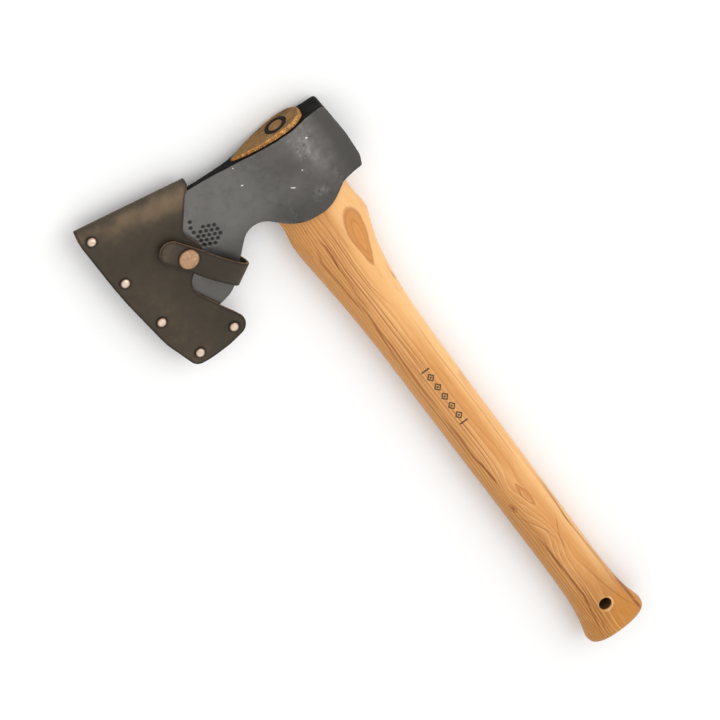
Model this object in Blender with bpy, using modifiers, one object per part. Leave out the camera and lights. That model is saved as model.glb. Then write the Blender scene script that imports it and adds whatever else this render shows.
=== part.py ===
"""Bearded carpenter's hand axe with a hickory handle and a riveted leather blade guard.

The axe lies on its side. +X runs from the head to the butt of the handle, +Y from the cutting edge to the
poll, and +Z is up, through the thickness of the head. Lengths are written in millimetres and scaled by MM
when they reach Blender. The design origin is the middle of the head's top face, on the handle's centre line.
"""

import math

import bmesh
import bpy
from mathutils import Matrix, Vector

MM = 0.001
GAP = 0.3  # clearance that neighbouring solids keep

# Where the design origin sits in the part's frame, whose own origin is the bottom centre of the bounding box.
DESIGN_ORIGIN = (-230.6, 40.5, 14.9)

# ---- axe head
POLL_Y = 52.9
POLL_BOTTOM_X = 55.3
LUG_X = 64.0
TOP_LINE = ((0.3, 51.6), (-2.8, -22.0), (-7.0, -54.0))  # the top edge from the poll to the flare
TOE = (-22.5, -119.3)
HEEL = (79.6, -114.2)
EDGE_SAGITTA = 4.2
# Half thickness of the head at stations from the poll to the cutting edge.
CHEEK = ((44, 10.2), (37, 11.2), (30, 13.3), (22, 14.9), (14, 14.6), (6, 13.2), (-2, 11.3), (-10, 8.9),
         (-18, 6.5), (-25, 5.0), (-34, 3.8), (-46, 3.1), (-62, 2.7), (-85, 2.2), (-104, 1.8), (-112, 1.3))
POLL_HALF_THICKNESS = 10.1
POLL_CHAMFER = 1.2
EDGE_HALF_THICKNESS = 0.3

# ---- eye and handle
EYE_FRONT = -19.4
EYE_BACK = 37.4
EYE_HALF_WIDTH = 11.8
EYE_TAPER = 2.8  # how much shorter the eye is at its bottom
EYE_WIDEST = 0.387  # place of the widest point, from -1 at the front to 1 at the back
HANDLE_TOP_X = -4.4
HANDLE_OVAL = 2.25
SECTION_STEPS = 12
# x, front, back, half thickness, and how oval the section is (0 is the eye's teardrop).
HANDLE_STATIONS = (
    (72, -20.6, 34.3, 12.3, 0.35), (80, -21.6, 35.3, 12.8, 0.6), (86, -21.7, 35.5, 12.9, 0.8),
    (92, -21.5, 33.8, 12.9, 0.9), (98, -21.2, 31.8, 12.8, 1.0), (104, -20.9, 29.8, 12.7, 1.0),
    (111, -20.5, 27.7, 12.5, 1.0), (119, -20.0, 25.9, 12.4, 1.0), (133, -19.1, 23.7, 12.2, 1.0),
    (149, -18.3, 21.9, 12.0, 1.0), (168, -17.8, 20.8, 11.8, 1.0), (190, -17.5, 20.0, 11.7, 1.0),
    (224, -17.4, 19.5, 11.6, 1.0), (280, -17.4, 19.2, 11.6, 1.0), (330, -17.5, 19.1, 11.5, 1.0),
    (380, -17.5, 18.9, 11.4, 1.0), (425, -17.7, 18.7, 11.4, 1.0), (441, -18.0, 18.9, 11.6, 1.0),
    (455, -18.8, 19.4, 12.0, 1.0), (470, -20.6, 20.8, 12.7, 1.0), (482, -23.1, 23.4, 13.1, 1.0),
    (486.5, -24.0, 24.2, 13.0, 1.0), (490.2, -23.4, 23.7, 12.2, 1.0), (492.9, -21.0, 22.0, 10.4, 1.0),
    (494.3, -17.6, 19.2, 8.2, 1.0),
)
LANYARD_HOLE = (464.8, 1.4)
LANYARD_RADIUS = 4.7

# ---- ring wedge
RING_Y = 18.5
RING_OUTER = 8.4
RING_INNER = 5.4
RING_BOTTOM_X = 11.5
RING_PROUD = 0.2

# ---- blade guard
LEATHER = 2.2
FLARE = math.radians(13.2)  # angle of the folded edge, which runs beside the top line of the blade
FOLD_START = (-14.9, -54.0)  # a point on the outside of the folded edge
RIM_Y = -133.0
THROAT_Y = -52.0
RIM_MID = 2.2  # height of a panel's middle surface at the rim
THROAT_MID = 5.6  # and at the throat
TAB_CLOSED_X = 88.5  # the panels meet the rim thickness again at the heel tab
TAB_OPEN_X = 80.0
GUARD_CORNERS = ((-46, -128.7, 0), (-22, -133.8, 30), (27, -133.9, 200), (77, -129.8, 60), (105.2, -122.5, 8),
                 (107.2, -111, 40), (107.4, -95, 40), (104.2, -73.1, 9), (52.6, -94.2, 12), (32.2, -69.0, 3.5),
                 (15.4, -74.8, 9), (-6.4, -58.0, 8), (-10.9, -52.4, 2.5), (-34, -47.5, 0))
WELT_CORNERS = ((-27, -131.9, 0.5), (-21.5, -133.0, 30), (27, -133.0, 200), (77, -129.0, 60), (104.6, -121.9, 7.6),
                (106.8, -111, 40), (107.0, -95, 40), (103.8, -73.8, 8.6), (91.8, -79.9, 0.8), (84.6, -116.8, 4),
                (50, -121.5, 60), (-25.0, -121.6, 0.5))
TAB_RELIEF = ((50, -98.2), (101, -77.4), (101, -60), (50, -60))  # cut off the back panel above the heel tab
RIM_RIVETS = ((-20.5, -125.9), (20.0, -125.6), (60.7, -122.7), (97.9, -115.0), (98.0, -86.1))
CAP_RADIUS = 3.4
CAP_HEIGHT = 1.3
POST_RADIUS = 1.5

# ---- strap and snap
SNAP = (31.0, -81.8)
STRAP_ANGLE = math.radians(30.5)
STRAP_WIDTH = 17.0
STRAP_THICKNESS = 2.2
STRAP_END = -21.5  # distances along the strap are counted from the snap
TAIL_END = -20.0
BEND_START = 12.0
FOLD_CENTRE = 37.2
FOLD_INNER = 6.8
FLAP_LEVEL = 8.6  # height of the flap's underside at the snap
FLAP_ARCH = ((8.2, 8.6), (12.5, 10.1), (24.0, 10.1), (31.0, 8.9))  # and its heights on the way to the fold
TAIL_LEVEL = 6.3  # depth of the tail's inner face on the back panel
STRAP_RIVETS = (2.0, -12.0)
HINGE_REACH = 1.2  # the hinge axis lies this many fold radii beyond the fold's centre
SNAP_CAP_RADIUS = 7.5

STEEL = ("forged_steel", (0.080, 0.076, 0.072), 0.45, 1.0)
HICKORY = ("hickory", (0.62, 0.36, 0.15), 0.42, 0.0)
RING_STEEL = ("ring_steel", (0.030, 0.028, 0.026), 0.50, 1.0)
HIDE = ("guard_leather", (0.048, 0.034, 0.022), 0.62, 0.0)
WELT_HIDE = ("welt_leather", (0.110, 0.060, 0.028), 0.75, 0.0)
COPPER = ("copper_rivet", (0.66, 0.44, 0.31), 0.35, 1.0)
ANTIQUE_BRASS = ("antique_brass", (0.36, 0.22, 0.13), 0.38, 1.0)


# ---------------------------------------------------------------- scene and collections

for old in list(bpy.data.objects):
    bpy.data.objects.remove(old, do_unlink=True)

parts = bpy.data.collections.new("hatchet")
cutters = bpy.data.collections.new("hatchet_cutters")
for collection in (parts, cutters):
    bpy.context.scene.collection.children.link(collection)


def place_in(obj, collection):
    """Keep an object in one collection only."""
    for other in list(obj.users_collection):
        other.objects.unlink(obj)
    collection.objects.link(obj)


def make_empty(name, location, parent=None):
    empty = bpy.data.objects.new(name, None)
    empty.empty_display_size = 0.02
    parts.objects.link(empty)
    empty.parent = parent
    empty.location = Vector(location) * MM
    bpy.context.view_layer.update()
    return empty


frame = make_empty("hatchet_frame", DESIGN_ORIGIN)


def material(spec):
    name, colour, roughness, metallic = spec
    if name in bpy.data.materials:
        return bpy.data.materials[name]
    made = bpy.data.materials.new(name)
    made.use_nodes = True
    shader = made.node_tree.nodes["Principled BSDF"]
    shader.inputs["Base Color"].default_value = (*colour, 1.0)
    shader.inputs["Roughness"].default_value = roughness
    shader.inputs["Metallic"].default_value = metallic
    made.diffuse_color = (*colour, 1.0)
    return made


def adopt(obj, name, spec, parent=frame):
    """Name a finished piece, give it its material and hang it under its parent, keeping its place."""
    obj.name = name
    obj.data.name = name
    obj.data.materials.clear()
    obj.data.materials.append(material(spec))
    place_in(obj, parts)
    obj.parent = parent
    if parent is not frame:
        obj.matrix_parent_inverse = parent.matrix_world.inverted() @ frame.matrix_world
    return obj


def as_cutter(obj, name):
    obj.name = name
    place_in(obj, cutters)
    obj.parent = frame
    obj.hide_render = True
    obj.display_type = "WIRE"
    return obj


def shade(obj, angle=35):
    obj.data.shade_smooth()
    obj.data.set_sharp_from_angle(angle=math.radians(angle))


# ---------------------------------------------------------------- modelling helpers

def fillet_outline(corners, step=math.radians(14)):
    """Closed outline through (x, y, radius) corners, each one rounded by an arc of its radius."""
    points = []
    for index, (x, y, radius) in enumerate(corners):
        corner = Vector((x, y))
        if radius == 0:
            points.append(corner)
            continue
        back = (Vector(corners[index - 1][:2]) - corner).normalized()
        ahead = (Vector(corners[(index + 1) % len(corners)][:2]) - corner).normalized()
        half = math.acos(max(-1.0, min(1.0, back.dot(ahead)))) / 2
        centre = corner + (back + ahead).normalized() * (radius / math.sin(half))
        first = corner + back * (radius / math.tan(half)) - centre
        last = corner + ahead * (radius / math.tan(half)) - centre
        turn = math.atan2(first.x * last.y - first.y * last.x, first.dot(last))
        steps = max(1, math.ceil(abs(turn) / step))
        for k in range(steps + 1):
            points.append(centre + Matrix.Rotation(turn * k / steps, 2) @ first)
    return points


def arc_between(start, end, sagitta, steps):
    """Points strictly between two ends, on an arc that bulges to the right of the way from start to end."""
    start, end = Vector(start), Vector(end)
    chord = end - start
    radius = (chord.length / 2) ** 2 / (2 * sagitta) + sagitta / 2
    side = Vector((chord.y, -chord.x)).normalized()
    centre = (start + end) / 2 + side * (sagitta - radius)
    sweep = 2 * math.asin(chord.length / 2 / radius)
    spoke = start - centre
    return [centre + Matrix.Rotation(sweep * k / steps, 2) @ spoke for k in range(1, steps)]


def to_mesh(obj):
    """Replace an object by a plain mesh of what it evaluates to, with its caps welded."""
    bpy.context.view_layer.update()
    evaluated = obj.evaluated_get(bpy.context.evaluated_depsgraph_get())
    mesh = bpy.data.meshes.new_from_object(evaluated)
    shell = bmesh.new()
    shell.from_mesh(mesh)
    bmesh.ops.remove_doubles(shell, verts=shell.verts, dist=1e-6)
    bmesh.ops.recalc_face_normals(shell, faces=shell.faces)
    shell.to_mesh(mesh)
    shell.free()
    made = bpy.data.objects.new(obj.name, mesh)
    bpy.context.scene.collection.objects.link(made)
    made.matrix_world = obj.matrix_world
    bpy.data.objects.remove(obj, do_unlink=True)
    return made


def plate(name, outline, low, high, axes=None, origin=(0, 0)):
    """A flat outline extruded between two levels. axes turns the plate's x, y and z to other directions."""
    curve = bpy.data.curves.new(name, "CURVE")
    curve.dimensions = "2D"
    curve.fill_mode = "BOTH"
    curve.extrude = (high - low) / 2 * MM
    spline = curve.splines.new("POLY")
    spline.points.add(len(outline) - 1)
    for point, (x, y) in zip(spline.points, outline):
        point.co = (x * MM, y * MM, 0, 1)
    spline.use_cyclic_u = True
    obj = bpy.data.objects.new(name, curve)
    bpy.context.scene.collection.objects.link(obj)
    turn = Matrix(axes).transposed().to_4x4() if axes else Matrix.Identity(4)
    base = Matrix.Translation(Vector((origin[0], origin[1], 0)) * MM)
    obj.matrix_world = base @ turn @ Matrix.Translation((0, 0, (low + high) / 2 * MM))
    return to_mesh(obj)


def turned(name, profile, steps=20, closed=False):
    """A turned piece: (radius, height) points run down the outer side, swept around Z by a Screw modifier."""
    mesh = bpy.data.meshes.new(name)
    edges = [(k, k + 1) for k in range(len(profile) - 1)]
    if closed:
        edges.append((len(profile) - 1, 0))
    mesh.from_pydata([(radius * MM, 0, height * MM) for radius, height in profile], edges, [])
    obj = bpy.data.objects.new(name, mesh)
    bpy.context.scene.collection.objects.link(obj)
    screw = obj.modifiers.new("turn", "SCREW")
    screw.steps = steps
    screw.render_steps = steps
    screw.use_merge_vertices = True
    screw.merge_threshold = 0.00001
    screw.use_smooth_shade = True
    return to_mesh(obj)


def loft(name, rings):
    """Closed skin through rings of equal length, capped at both ends."""
    shell = bmesh.new()
    loops = [[shell.verts.new(Vector(point) * MM) for point in ring] for ring in rings]
    count = len(loops[0])
    for first, second in zip(loops, loops[1:]):
        for k in range(count):
            shell.faces.new((first[k], first[(k + 1) % count], second[(k + 1) % count], second[k]))
    shell.faces.new(loops[0])
    shell.faces.new(loops[-1])
    bmesh.ops.recalc_face_normals(shell, faces=shell.faces)
    mesh = bpy.data.meshes.new(name)
    shell.to_mesh(mesh)
    shell.free()
    obj = bpy.data.objects.new(name, mesh)
    bpy.context.scene.collection.objects.link(obj)
    return obj


def pin_cutter(name, x, y, radius, low, high, vertices=20):
    bpy.ops.mesh.primitive_cylinder_add(vertices=vertices, radius=radius * MM, depth=(high - low) * MM,
                                        location=Vector((x, y, (low + high) / 2)) * MM)
    return as_cutter(bpy.context.object, name)


def boolean(target, tool, operation="DIFFERENCE"):
    modifier = target.modifiers.new(tool.name, "BOOLEAN")
    modifier.operation = operation
    modifier.object = tool


# ---------------------------------------------------------------- axe: head, handle and ring wedge

def section(x, front, back, half_thickness, oval):
    """One section across the handle or the eye, between a teardrop and an oval."""
    upper, lower = [], []
    for k in range(SECTION_STEPS + 1):
        s = -math.cos(math.pi * k / SECTION_STEPS)
        if s < EYE_WIDEST:
            teardrop = (1 - ((EYE_WIDEST - s) / (EYE_WIDEST + 1)) ** 1.7) ** 0.82
        else:
            teardrop = (1 - ((s - EYE_WIDEST) / (1 - EYE_WIDEST)) ** 2.2) ** (1 / 2.2)
        ellipse = (1 - abs(s) ** HANDLE_OVAL) ** (1 / HANDLE_OVAL)
        width = half_thickness * ((1 - oval) * teardrop + oval * ellipse)
        y = (front + back) / 2 + s * (back - front) / 2
        upper.append((x, y, width))
        if 0 < k < SECTION_STEPS:
            lower.append((x, y, -width))
    return upper + lower[::-1]


def eye_section(x, inset=0.0):
    back = EYE_BACK - EYE_TAPER * max(x, 0) / LUG_X
    return section(x, EYE_FRONT + inset, back - inset, EYE_HALF_WIDTH - inset, 0)


def head_outline():
    """The head seen square on to its cheek: poll, lug, beard notch, beard, cutting edge and top line."""
    poll_top, neck, flare = TOP_LINE
    corners = [
        (*poll_top, 3), (28, POLL_Y + 0.4, 120), (48, POLL_Y - 0.8, 16), (POLL_BOTTOM_X - 0.2, 49.2, 1.3),
        (POLL_BOTTOM_X, 32.2, 1.5),
        (LUG_X, 14.4, 28), (LUG_X, -9.2, 28), (38.6, -33.6, 15), (76.8, -71.6, 24), (HEEL[0] - 0.4, -92, 60),
        (*HEEL, 2),
    ]
    corners += [(*point, 0) for point in arc_between(HEEL, TOE, EDGE_SAGITTA, 10)]
    corners += [(*TOE, 2.5), (*flare, 60), (*neck, 60)]
    return fillet_outline(corners)


def head_profile():
    """Half thickness over the way from poll to edge, closed by its mirror image."""
    upper = [(POLL_Y, POLL_HALF_THICKNESS - POLL_CHAMFER), (POLL_Y - POLL_CHAMFER, POLL_HALF_THICKNESS)]
    upper += CHEEK
    edge_y = TOE[1] - 2 * EDGE_SAGITTA
    upper += [(TOE[1] - EDGE_SAGITTA / 2, EDGE_HALF_THICKNESS), (edge_y, EDGE_HALF_THICKNESS)]
    return upper + [(y, -height) for y, height in reversed(upper)]


def build_head():
    along_x = ((0, 1, 0), (0, 0, 1), (1, 0, 0))
    head = plate("axe_head", head_outline(), -20, 20)
    cheeks = as_cutter(plate("cheek_profile", head_profile(), -60, 120, along_x), "cheek_profile")
    eye = as_cutter(loft("eye_hole", [eye_section(x) for x in (-8, 0, LUG_X + 6)]), "eye_hole")
    adopt(head, "axe_head", STEEL)
    boolean(head, cheeks, "INTERSECT")
    boolean(head, eye)
    shade(head)


def build_handle():
    tenon = [eye_section(x, GAP) for x in (HANDLE_TOP_X, 0, 30, LUG_X + 0.5)]
    handle = loft("handle", tenon + [section(*station) for station in HANDLE_STATIONS])
    adopt(handle, "handle", HICKORY)
    boolean(handle, pin_cutter("lanyard_hole", *LANYARD_HOLE, LANYARD_RADIUS, -20, 20))
    top, bottom = HANDLE_TOP_X - 2, RING_BOTTOM_X + GAP
    groove = turned("ring_groove", ((RING_INNER - GAP, top), (RING_OUTER + GAP, top),
                                    (RING_OUTER + GAP, bottom), (RING_INNER - GAP, bottom))[::-1], closed=True)
    groove.data.transform(Matrix.Rotation(math.pi / 2, 4, "Y"))
    groove.location.y = RING_Y * MM
    boolean(handle, as_cutter(groove, "ring_groove"))
    shade(handle)


def build_ring():
    top, bottom = HANDLE_TOP_X - RING_PROUD, RING_BOTTOM_X
    ring = turned("ring_wedge", ((RING_INNER, top), (RING_OUTER, top), (RING_OUTER - 0.6, bottom),
                                 (RING_INNER + 0.6, bottom))[::-1], closed=True)
    ring.data.transform(Matrix.Rotation(math.pi / 2, 4, "Y"))
    ring.location.y = RING_Y * MM
    adopt(ring, "ring_wedge", RING_STEEL)
    shade(ring)


# ---------------------------------------------------------------- blade guard

SLIDE_DIRECTION = Vector((-math.sin(FLARE), -math.cos(FLARE), 0))
INWARD = Vector((math.cos(FLARE), -math.sin(FLARE), 0))
guard_axis = make_empty("guard_slide_axis", (*FOLD_START, 0), frame)


def panel_mid(x, y):
    """Height of a panel's middle surface: closed at the rim and the heel tab, open at the throat."""
    opened = (THROAT_MID - RIM_MID) * (y - RIM_Y) / (THROAT_Y - RIM_Y)
    return RIM_MID + opened * max(0.0, min(1.0, (TAB_CLOSED_X - x) / (TAB_CLOSED_X - TAB_OPEN_X)))


def open_panels(obj, inner):
    """Spread a guard piece made at its rim thickness, so that it follows the panels to the throat."""
    shell = bmesh.new()
    shell.from_mesh(obj.data)
    shell.transform(obj.matrix_world)
    for x in (TAB_OPEN_X, TAB_CLOSED_X):
        everything = shell.verts[:] + shell.edges[:] + shell.faces[:]
        bmesh.ops.bisect_plane(shell, geom=everything, dist=1e-7, plane_co=(x * MM, 0, 0), plane_no=(1, 0, 0))
    bmesh.ops.triangulate(shell, faces=shell.faces)
    for vertex in shell.verts:
        x, y, z = vertex.co / MM
        side = max(-1.0, min(1.0, z / inner))
        vertex.co.z += (panel_mid(x, y) - RIM_MID) * side * MM
    shell.to_mesh(obj.data)
    shell.free()
    obj.matrix_world = Matrix.Identity(4)


def build_cover():
    """One hide folded along the flared edge: a U-shaped channel trimmed to the panel outline."""
    inner, outer, leg = RIM_MID - LEATHER / 2, RIM_MID + LEATHER / 2, 150
    arc = [math.radians(a) for a in range(90, 271, 15)]
    channel = [(outer * math.cos(a), outer * math.sin(a)) for a in arc]
    channel += [(leg, -outer), (leg, -inner)]
    channel += [(inner * math.cos(a), inner * math.sin(a)) for a in reversed(arc)]
    channel += [(leg, inner), (leg, outer)]
    foot = Vector((*FOLD_START, 0)) + INWARD * outer
    axes = (INWARD, (0, 0, 1), INWARD.cross(Vector((0, 0, 1))))
    cover = plate("guard_cover", channel, -30, 110, axes, foot.xy)
    trim = as_cutter(plate("guard_outline", fillet_outline(GUARD_CORNERS), -30, 30), "guard_outline")
    trim.parent = None
    relief = as_cutter(plate("tab_relief", TAB_RELIEF, -30, 0), "tab_relief")
    relief.parent = None
    boolean(cover, trim, "INTERSECT")
    boolean(cover, relief)
    cover = to_mesh(cover)
    for tool in (trim, relief):
        bpy.data.objects.remove(tool, do_unlink=True)
    open_panels(cover, inner)
    adopt(cover, "guard_cover", HIDE, guard_axis)
    for k, (x, y) in enumerate(RIM_RIVETS):
        boolean(cover, pin_cutter(f"cover_hole_{k + 1}", x, y, POST_RADIUS + GAP, -20, 20, 14))
    boolean(cover, pin_cutter("cover_hole_snap", *SNAP, POST_RADIUS, 1, 20, 14))
    for k, distance in enumerate(STRAP_RIVETS):
        x, y = strap_point(distance)
        boolean(cover, pin_cutter(f"cover_hole_strap_{k + 1}", x, y, POST_RADIUS + GAP, -20, -1, 14))
    shade(cover)


def build_welt():
    """A strip of thick hide between the panels, which keeps the edge off the rivets."""
    half = RIM_MID - LEATHER / 2 - GAP
    welt = plate("edge_welt", fillet_outline(WELT_CORNERS), -half, half)
    open_panels(welt, half)
    adopt(welt, "edge_welt", WELT_HIDE, guard_axis)
    for k, (x, y) in enumerate(RIM_RIVETS):
        boolean(welt, pin_cutter(f"welt_hole_{k + 1}", x, y, POST_RADIUS + GAP, -20, 20, 14))


def dome(radius, base, height, steps=4):
    """Profile of a low dome, from its crown on the axis down to its rim."""
    lip = 0.3 * height
    arc = [math.pi / 2 * k / steps for k in range(steps + 1)]
    return [(radius * math.sin(a), base + lip + (height - lip) * math.cos(a)) for a in arc] + [(radius, base)]


def rivet_pair(name, x, y, cap_base, back_base, side, parent, back_radius, back_height):
    """A domed cap with its post, and a cap or a thin burr on the far end. side is 1 when the dome faces up."""
    socket = POST_RADIUS + GAP
    burr = back_height < 2 * GAP
    low = -back_base - back_height
    post_end = low if burr else low + 2 * GAP
    profile = dome(CAP_RADIUS, cap_base, CAP_HEIGHT)
    profile += [(POST_RADIUS, cap_base), (POST_RADIUS, post_end), (0, post_end)]
    rim = [(socket, -back_base), (back_radius, -back_base), (back_radius, -back_base - 0.5 * back_height)]
    if burr:
        back = rim + [(back_radius, low), (socket, low)]
    else:
        back = [(0, low + GAP), (socket, low + GAP)] + rim + [(back_radius * 0.8, low), (0, low)]
    for part_name, shape, ring in ((f"{name}_post", profile, False), (f"{name}_cap", back, burr)):
        piece = turned(part_name, shape, 16, ring)
        if side < 0:
            piece.data.transform(Matrix.Rotation(math.pi, 4, "X"))
        piece.location = Vector((x, y, 0)) * MM
        adopt(piece, part_name, COPPER, parent)
        shade(piece, 40)


def build_rim_rivets():
    for k, (x, y) in enumerate(RIM_RIVETS):
        face = panel_mid(x, y) + LEATHER / 2 + GAP
        rivet_pair(f"rim_rivet_{k + 1}", x, y, face, face, 1, guard_axis, CAP_RADIUS - 0.2, 1.1)


# ---------------------------------------------------------------- strap and snap fastener

STRAP_DIRECTION = Vector((math.cos(STRAP_ANGLE), math.sin(STRAP_ANGLE), 0))
FOLD_OUTER = FOLD_INNER + STRAP_THICKNESS


def strap_point(distance):
    place = Vector((*SNAP, 0)) + STRAP_DIRECTION * distance
    return place.x, place.y


hinge_point = strap_point(FOLD_CENTRE + HINGE_REACH * FOLD_OUTER)
hinge_axis = make_empty("strap_hinge_axis", (*hinge_point, 0), frame)
hinge_axis.rotation_euler.z = STRAP_ANGLE
bpy.context.view_layer.update()


def strap_piece(name, side_view, parent):
    """A length of the strap: its side view, extruded over the strap's width."""
    axes = (STRAP_DIRECTION, (0, 0, 1), STRAP_DIRECTION.cross(Vector((0, 0, 1))))
    piece = plate(name, side_view, -STRAP_WIDTH / 2, STRAP_WIDTH / 2, axes, SNAP)
    return adopt(piece, name, HIDE, parent)


def leg_view(end, level, bends, sign):
    """Side view of a strap leg: level from its end, then through its bends to the fold."""
    inside = [(end, level), *bends, (FOLD_CENTRE - GAP, FOLD_INNER)]
    outside = [(t, z + STRAP_THICKNESS) for t, z in reversed(inside)]
    return [(t, sign * z) for t, z in inside + outside]


def round_end(piece, end, name):
    """Trim one end of a strap leg to a half round, seen square on to the strap."""
    half = STRAP_WIDTH / 2
    arc = [math.radians(a) for a in range(90, 271, 15)]
    outline = [(end + half + (half * math.cos(a)), half * math.sin(a)) for a in arc]
    outline += [(80, -half - 2), (80, half + 2)]
    outline[0] = (end + half, half + 2)
    outline[len(arc) - 1] = (end + half, -half - 2)
    axes = (STRAP_DIRECTION, Vector((0, 0, 1)).cross(STRAP_DIRECTION), (0, 0, 1))
    boolean(piece, as_cutter(plate(name, outline, -20, 20, axes, SNAP), name), "INTERSECT")


def build_strap():
    flap = strap_piece("strap_flap", leg_view(STRAP_END, FLAP_LEVEL, FLAP_ARCH, 1), hinge_axis)
    round_end(flap, STRAP_END, "flap_outline")
    boolean(flap, pin_cutter("flap_hole", *SNAP, POST_RADIUS + 2 * GAP, 5, 20, 14))
    tail_bend = ((BEND_START, TAIL_LEVEL),)
    tail = strap_piece("strap_tail", leg_view(TAIL_END, TAIL_LEVEL, tail_bend, -1), guard_axis)
    round_end(tail, TAIL_END, "tail_outline")
    for k, distance in enumerate(STRAP_RIVETS):
        x, y = strap_point(distance)
        boolean(tail, pin_cutter(f"tail_hole_{k + 1}", x, y, POST_RADIUS + GAP, -20, -1, 14))
        face = TAIL_LEVEL + STRAP_THICKNESS + GAP
        inner_face = LEATHER / 2 - panel_mid(x, y) + GAP
        rivet_pair(f"strap_rivet_{k + 1}", x, y, face, inner_face, -1, guard_axis, CAP_RADIUS, 0.4)
    arc = [math.radians(a) for a in range(90, -91, -12)]
    bend = [(FOLD_CENTRE + FOLD_OUTER * math.cos(a), FOLD_OUTER * math.sin(a)) for a in arc]
    bend += [(FOLD_CENTRE + FOLD_INNER * math.cos(a), FOLD_INNER * math.sin(a)) for a in reversed(arc)]
    strap_piece("strap_fold", bend, hinge_axis)


def build_snap():
    """Four-piece snap: cap and socket on the flap, stud and eyelet post on the front panel."""
    panel_inner = panel_mid(*SNAP) - LEATHER / 2
    panel_outer = panel_mid(*SNAP) + LEATHER / 2
    flap_top = FLAP_LEVEL + STRAP_THICKNESS
    flange = panel_outer + GAP + 0.1
    knob_top = FLAP_LEVEL - 0.9
    plate_low = FLAP_LEVEL - 2 * GAP
    cap = dome(SNAP_CAP_RADIUS, flap_top + GAP, 1.7) + [(1.8, flap_top + GAP), (1.8, plate_low), (0, plate_low)]
    socket = ((5.2, FLAP_LEVEL - GAP), (5.2, flange + 0.8), (2.8, flange + 0.8), (2.8, plate_low),
              (2.1, plate_low), (2.1, FLAP_LEVEL - GAP))
    stud = ((0, knob_top), (2.3, knob_top), (2.4, knob_top - 0.5), (2.1, flange + 0.4), (4.5, flange + 0.4),
            (4.5, flange), (1.5, flange), (1.5, knob_top - 0.4), (0, knob_top - 0.4))
    eyelet = ((0, knob_top - 0.7), (1.2, knob_top - 0.7), (1.2, panel_inner - GAP), (4.0, panel_inner - GAP),
              (4.0, panel_inner - GAP - 0.3), (0, panel_inner - GAP - 0.3))
    for name, profile, closed, parent in (("snap_cap", cap, False, hinge_axis),
                                          ("snap_socket", socket, True, hinge_axis),
                                          ("snap_stud", stud, False, guard_axis),
                                          ("snap_eyelet", eyelet, False, guard_axis)):
        piece = turned(name, profile, 24, closed)
        piece.location = Vector((*SNAP, 0)) * MM
        adopt(piece, name, ANTIQUE_BRASS, parent)
        shade(piece, 40)


build_head()
build_handle()
build_ring()
build_cover()
build_welt()
build_rim_rivets()
build_strap()
build_snap()
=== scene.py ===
import math

import bmesh
import bpy
import numpy as np
from mathutils import Matrix, Vector, noise
from mathutils.geometry import delaunay_2d_cdt


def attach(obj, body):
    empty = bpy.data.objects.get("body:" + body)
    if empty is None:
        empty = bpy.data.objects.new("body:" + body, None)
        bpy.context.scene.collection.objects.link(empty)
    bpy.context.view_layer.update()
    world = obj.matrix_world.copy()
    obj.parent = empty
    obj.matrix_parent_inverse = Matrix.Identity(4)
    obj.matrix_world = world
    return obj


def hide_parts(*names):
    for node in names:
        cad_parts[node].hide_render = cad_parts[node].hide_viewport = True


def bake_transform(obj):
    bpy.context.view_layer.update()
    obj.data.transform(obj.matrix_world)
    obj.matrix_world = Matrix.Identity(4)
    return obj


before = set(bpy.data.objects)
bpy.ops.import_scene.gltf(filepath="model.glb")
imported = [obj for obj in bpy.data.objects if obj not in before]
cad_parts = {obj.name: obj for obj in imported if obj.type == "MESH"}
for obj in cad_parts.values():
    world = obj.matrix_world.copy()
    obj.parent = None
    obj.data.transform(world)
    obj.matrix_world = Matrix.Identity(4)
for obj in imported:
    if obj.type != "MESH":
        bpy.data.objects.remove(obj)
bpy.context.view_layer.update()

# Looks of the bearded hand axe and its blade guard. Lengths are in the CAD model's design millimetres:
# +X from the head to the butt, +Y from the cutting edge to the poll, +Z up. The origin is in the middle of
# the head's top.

MM = 0.001
ORIGIN = np.array((-230.6, 40.5, 14.9))  # the design origin in the row frame

# ---- sizes repeated from the CAD model
POLL_Y = 52.9
POLL_BOTTOM_X = 55.3
LUG_X = 64.0
TOP_LINE = ((0.3, 51.6), (-2.8, -22.0), (-7.0, -54.0))
TOE = (-22.5, -119.3)
HEEL = (79.6, -114.2)
EDGE_SAGITTA = 4.2
CHEEK = ((53, 10.1), (44, 10.2), (37, 11.2), (30, 13.3), (22, 14.9), (14, 14.6), (6, 13.2), (-2, 11.3),
         (-10, 8.9), (-18, 6.5), (-25, 5.0), (-34, 3.8), (-46, 3.1), (-62, 2.7), (-85, 2.2), (-104, 1.8),
         (-112, 1.3), (-121.4, 0.3), (-128, 0.3))
EYE_FRONT = -19.4
EYE_BACK = 37.4
EYE_HALF_WIDTH = 11.8
EYE_TAPER = 2.8
EYE_WIDEST = 0.387
HANDLE_TOP_X = -4.4
HANDLE_OVAL = 2.25
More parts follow.
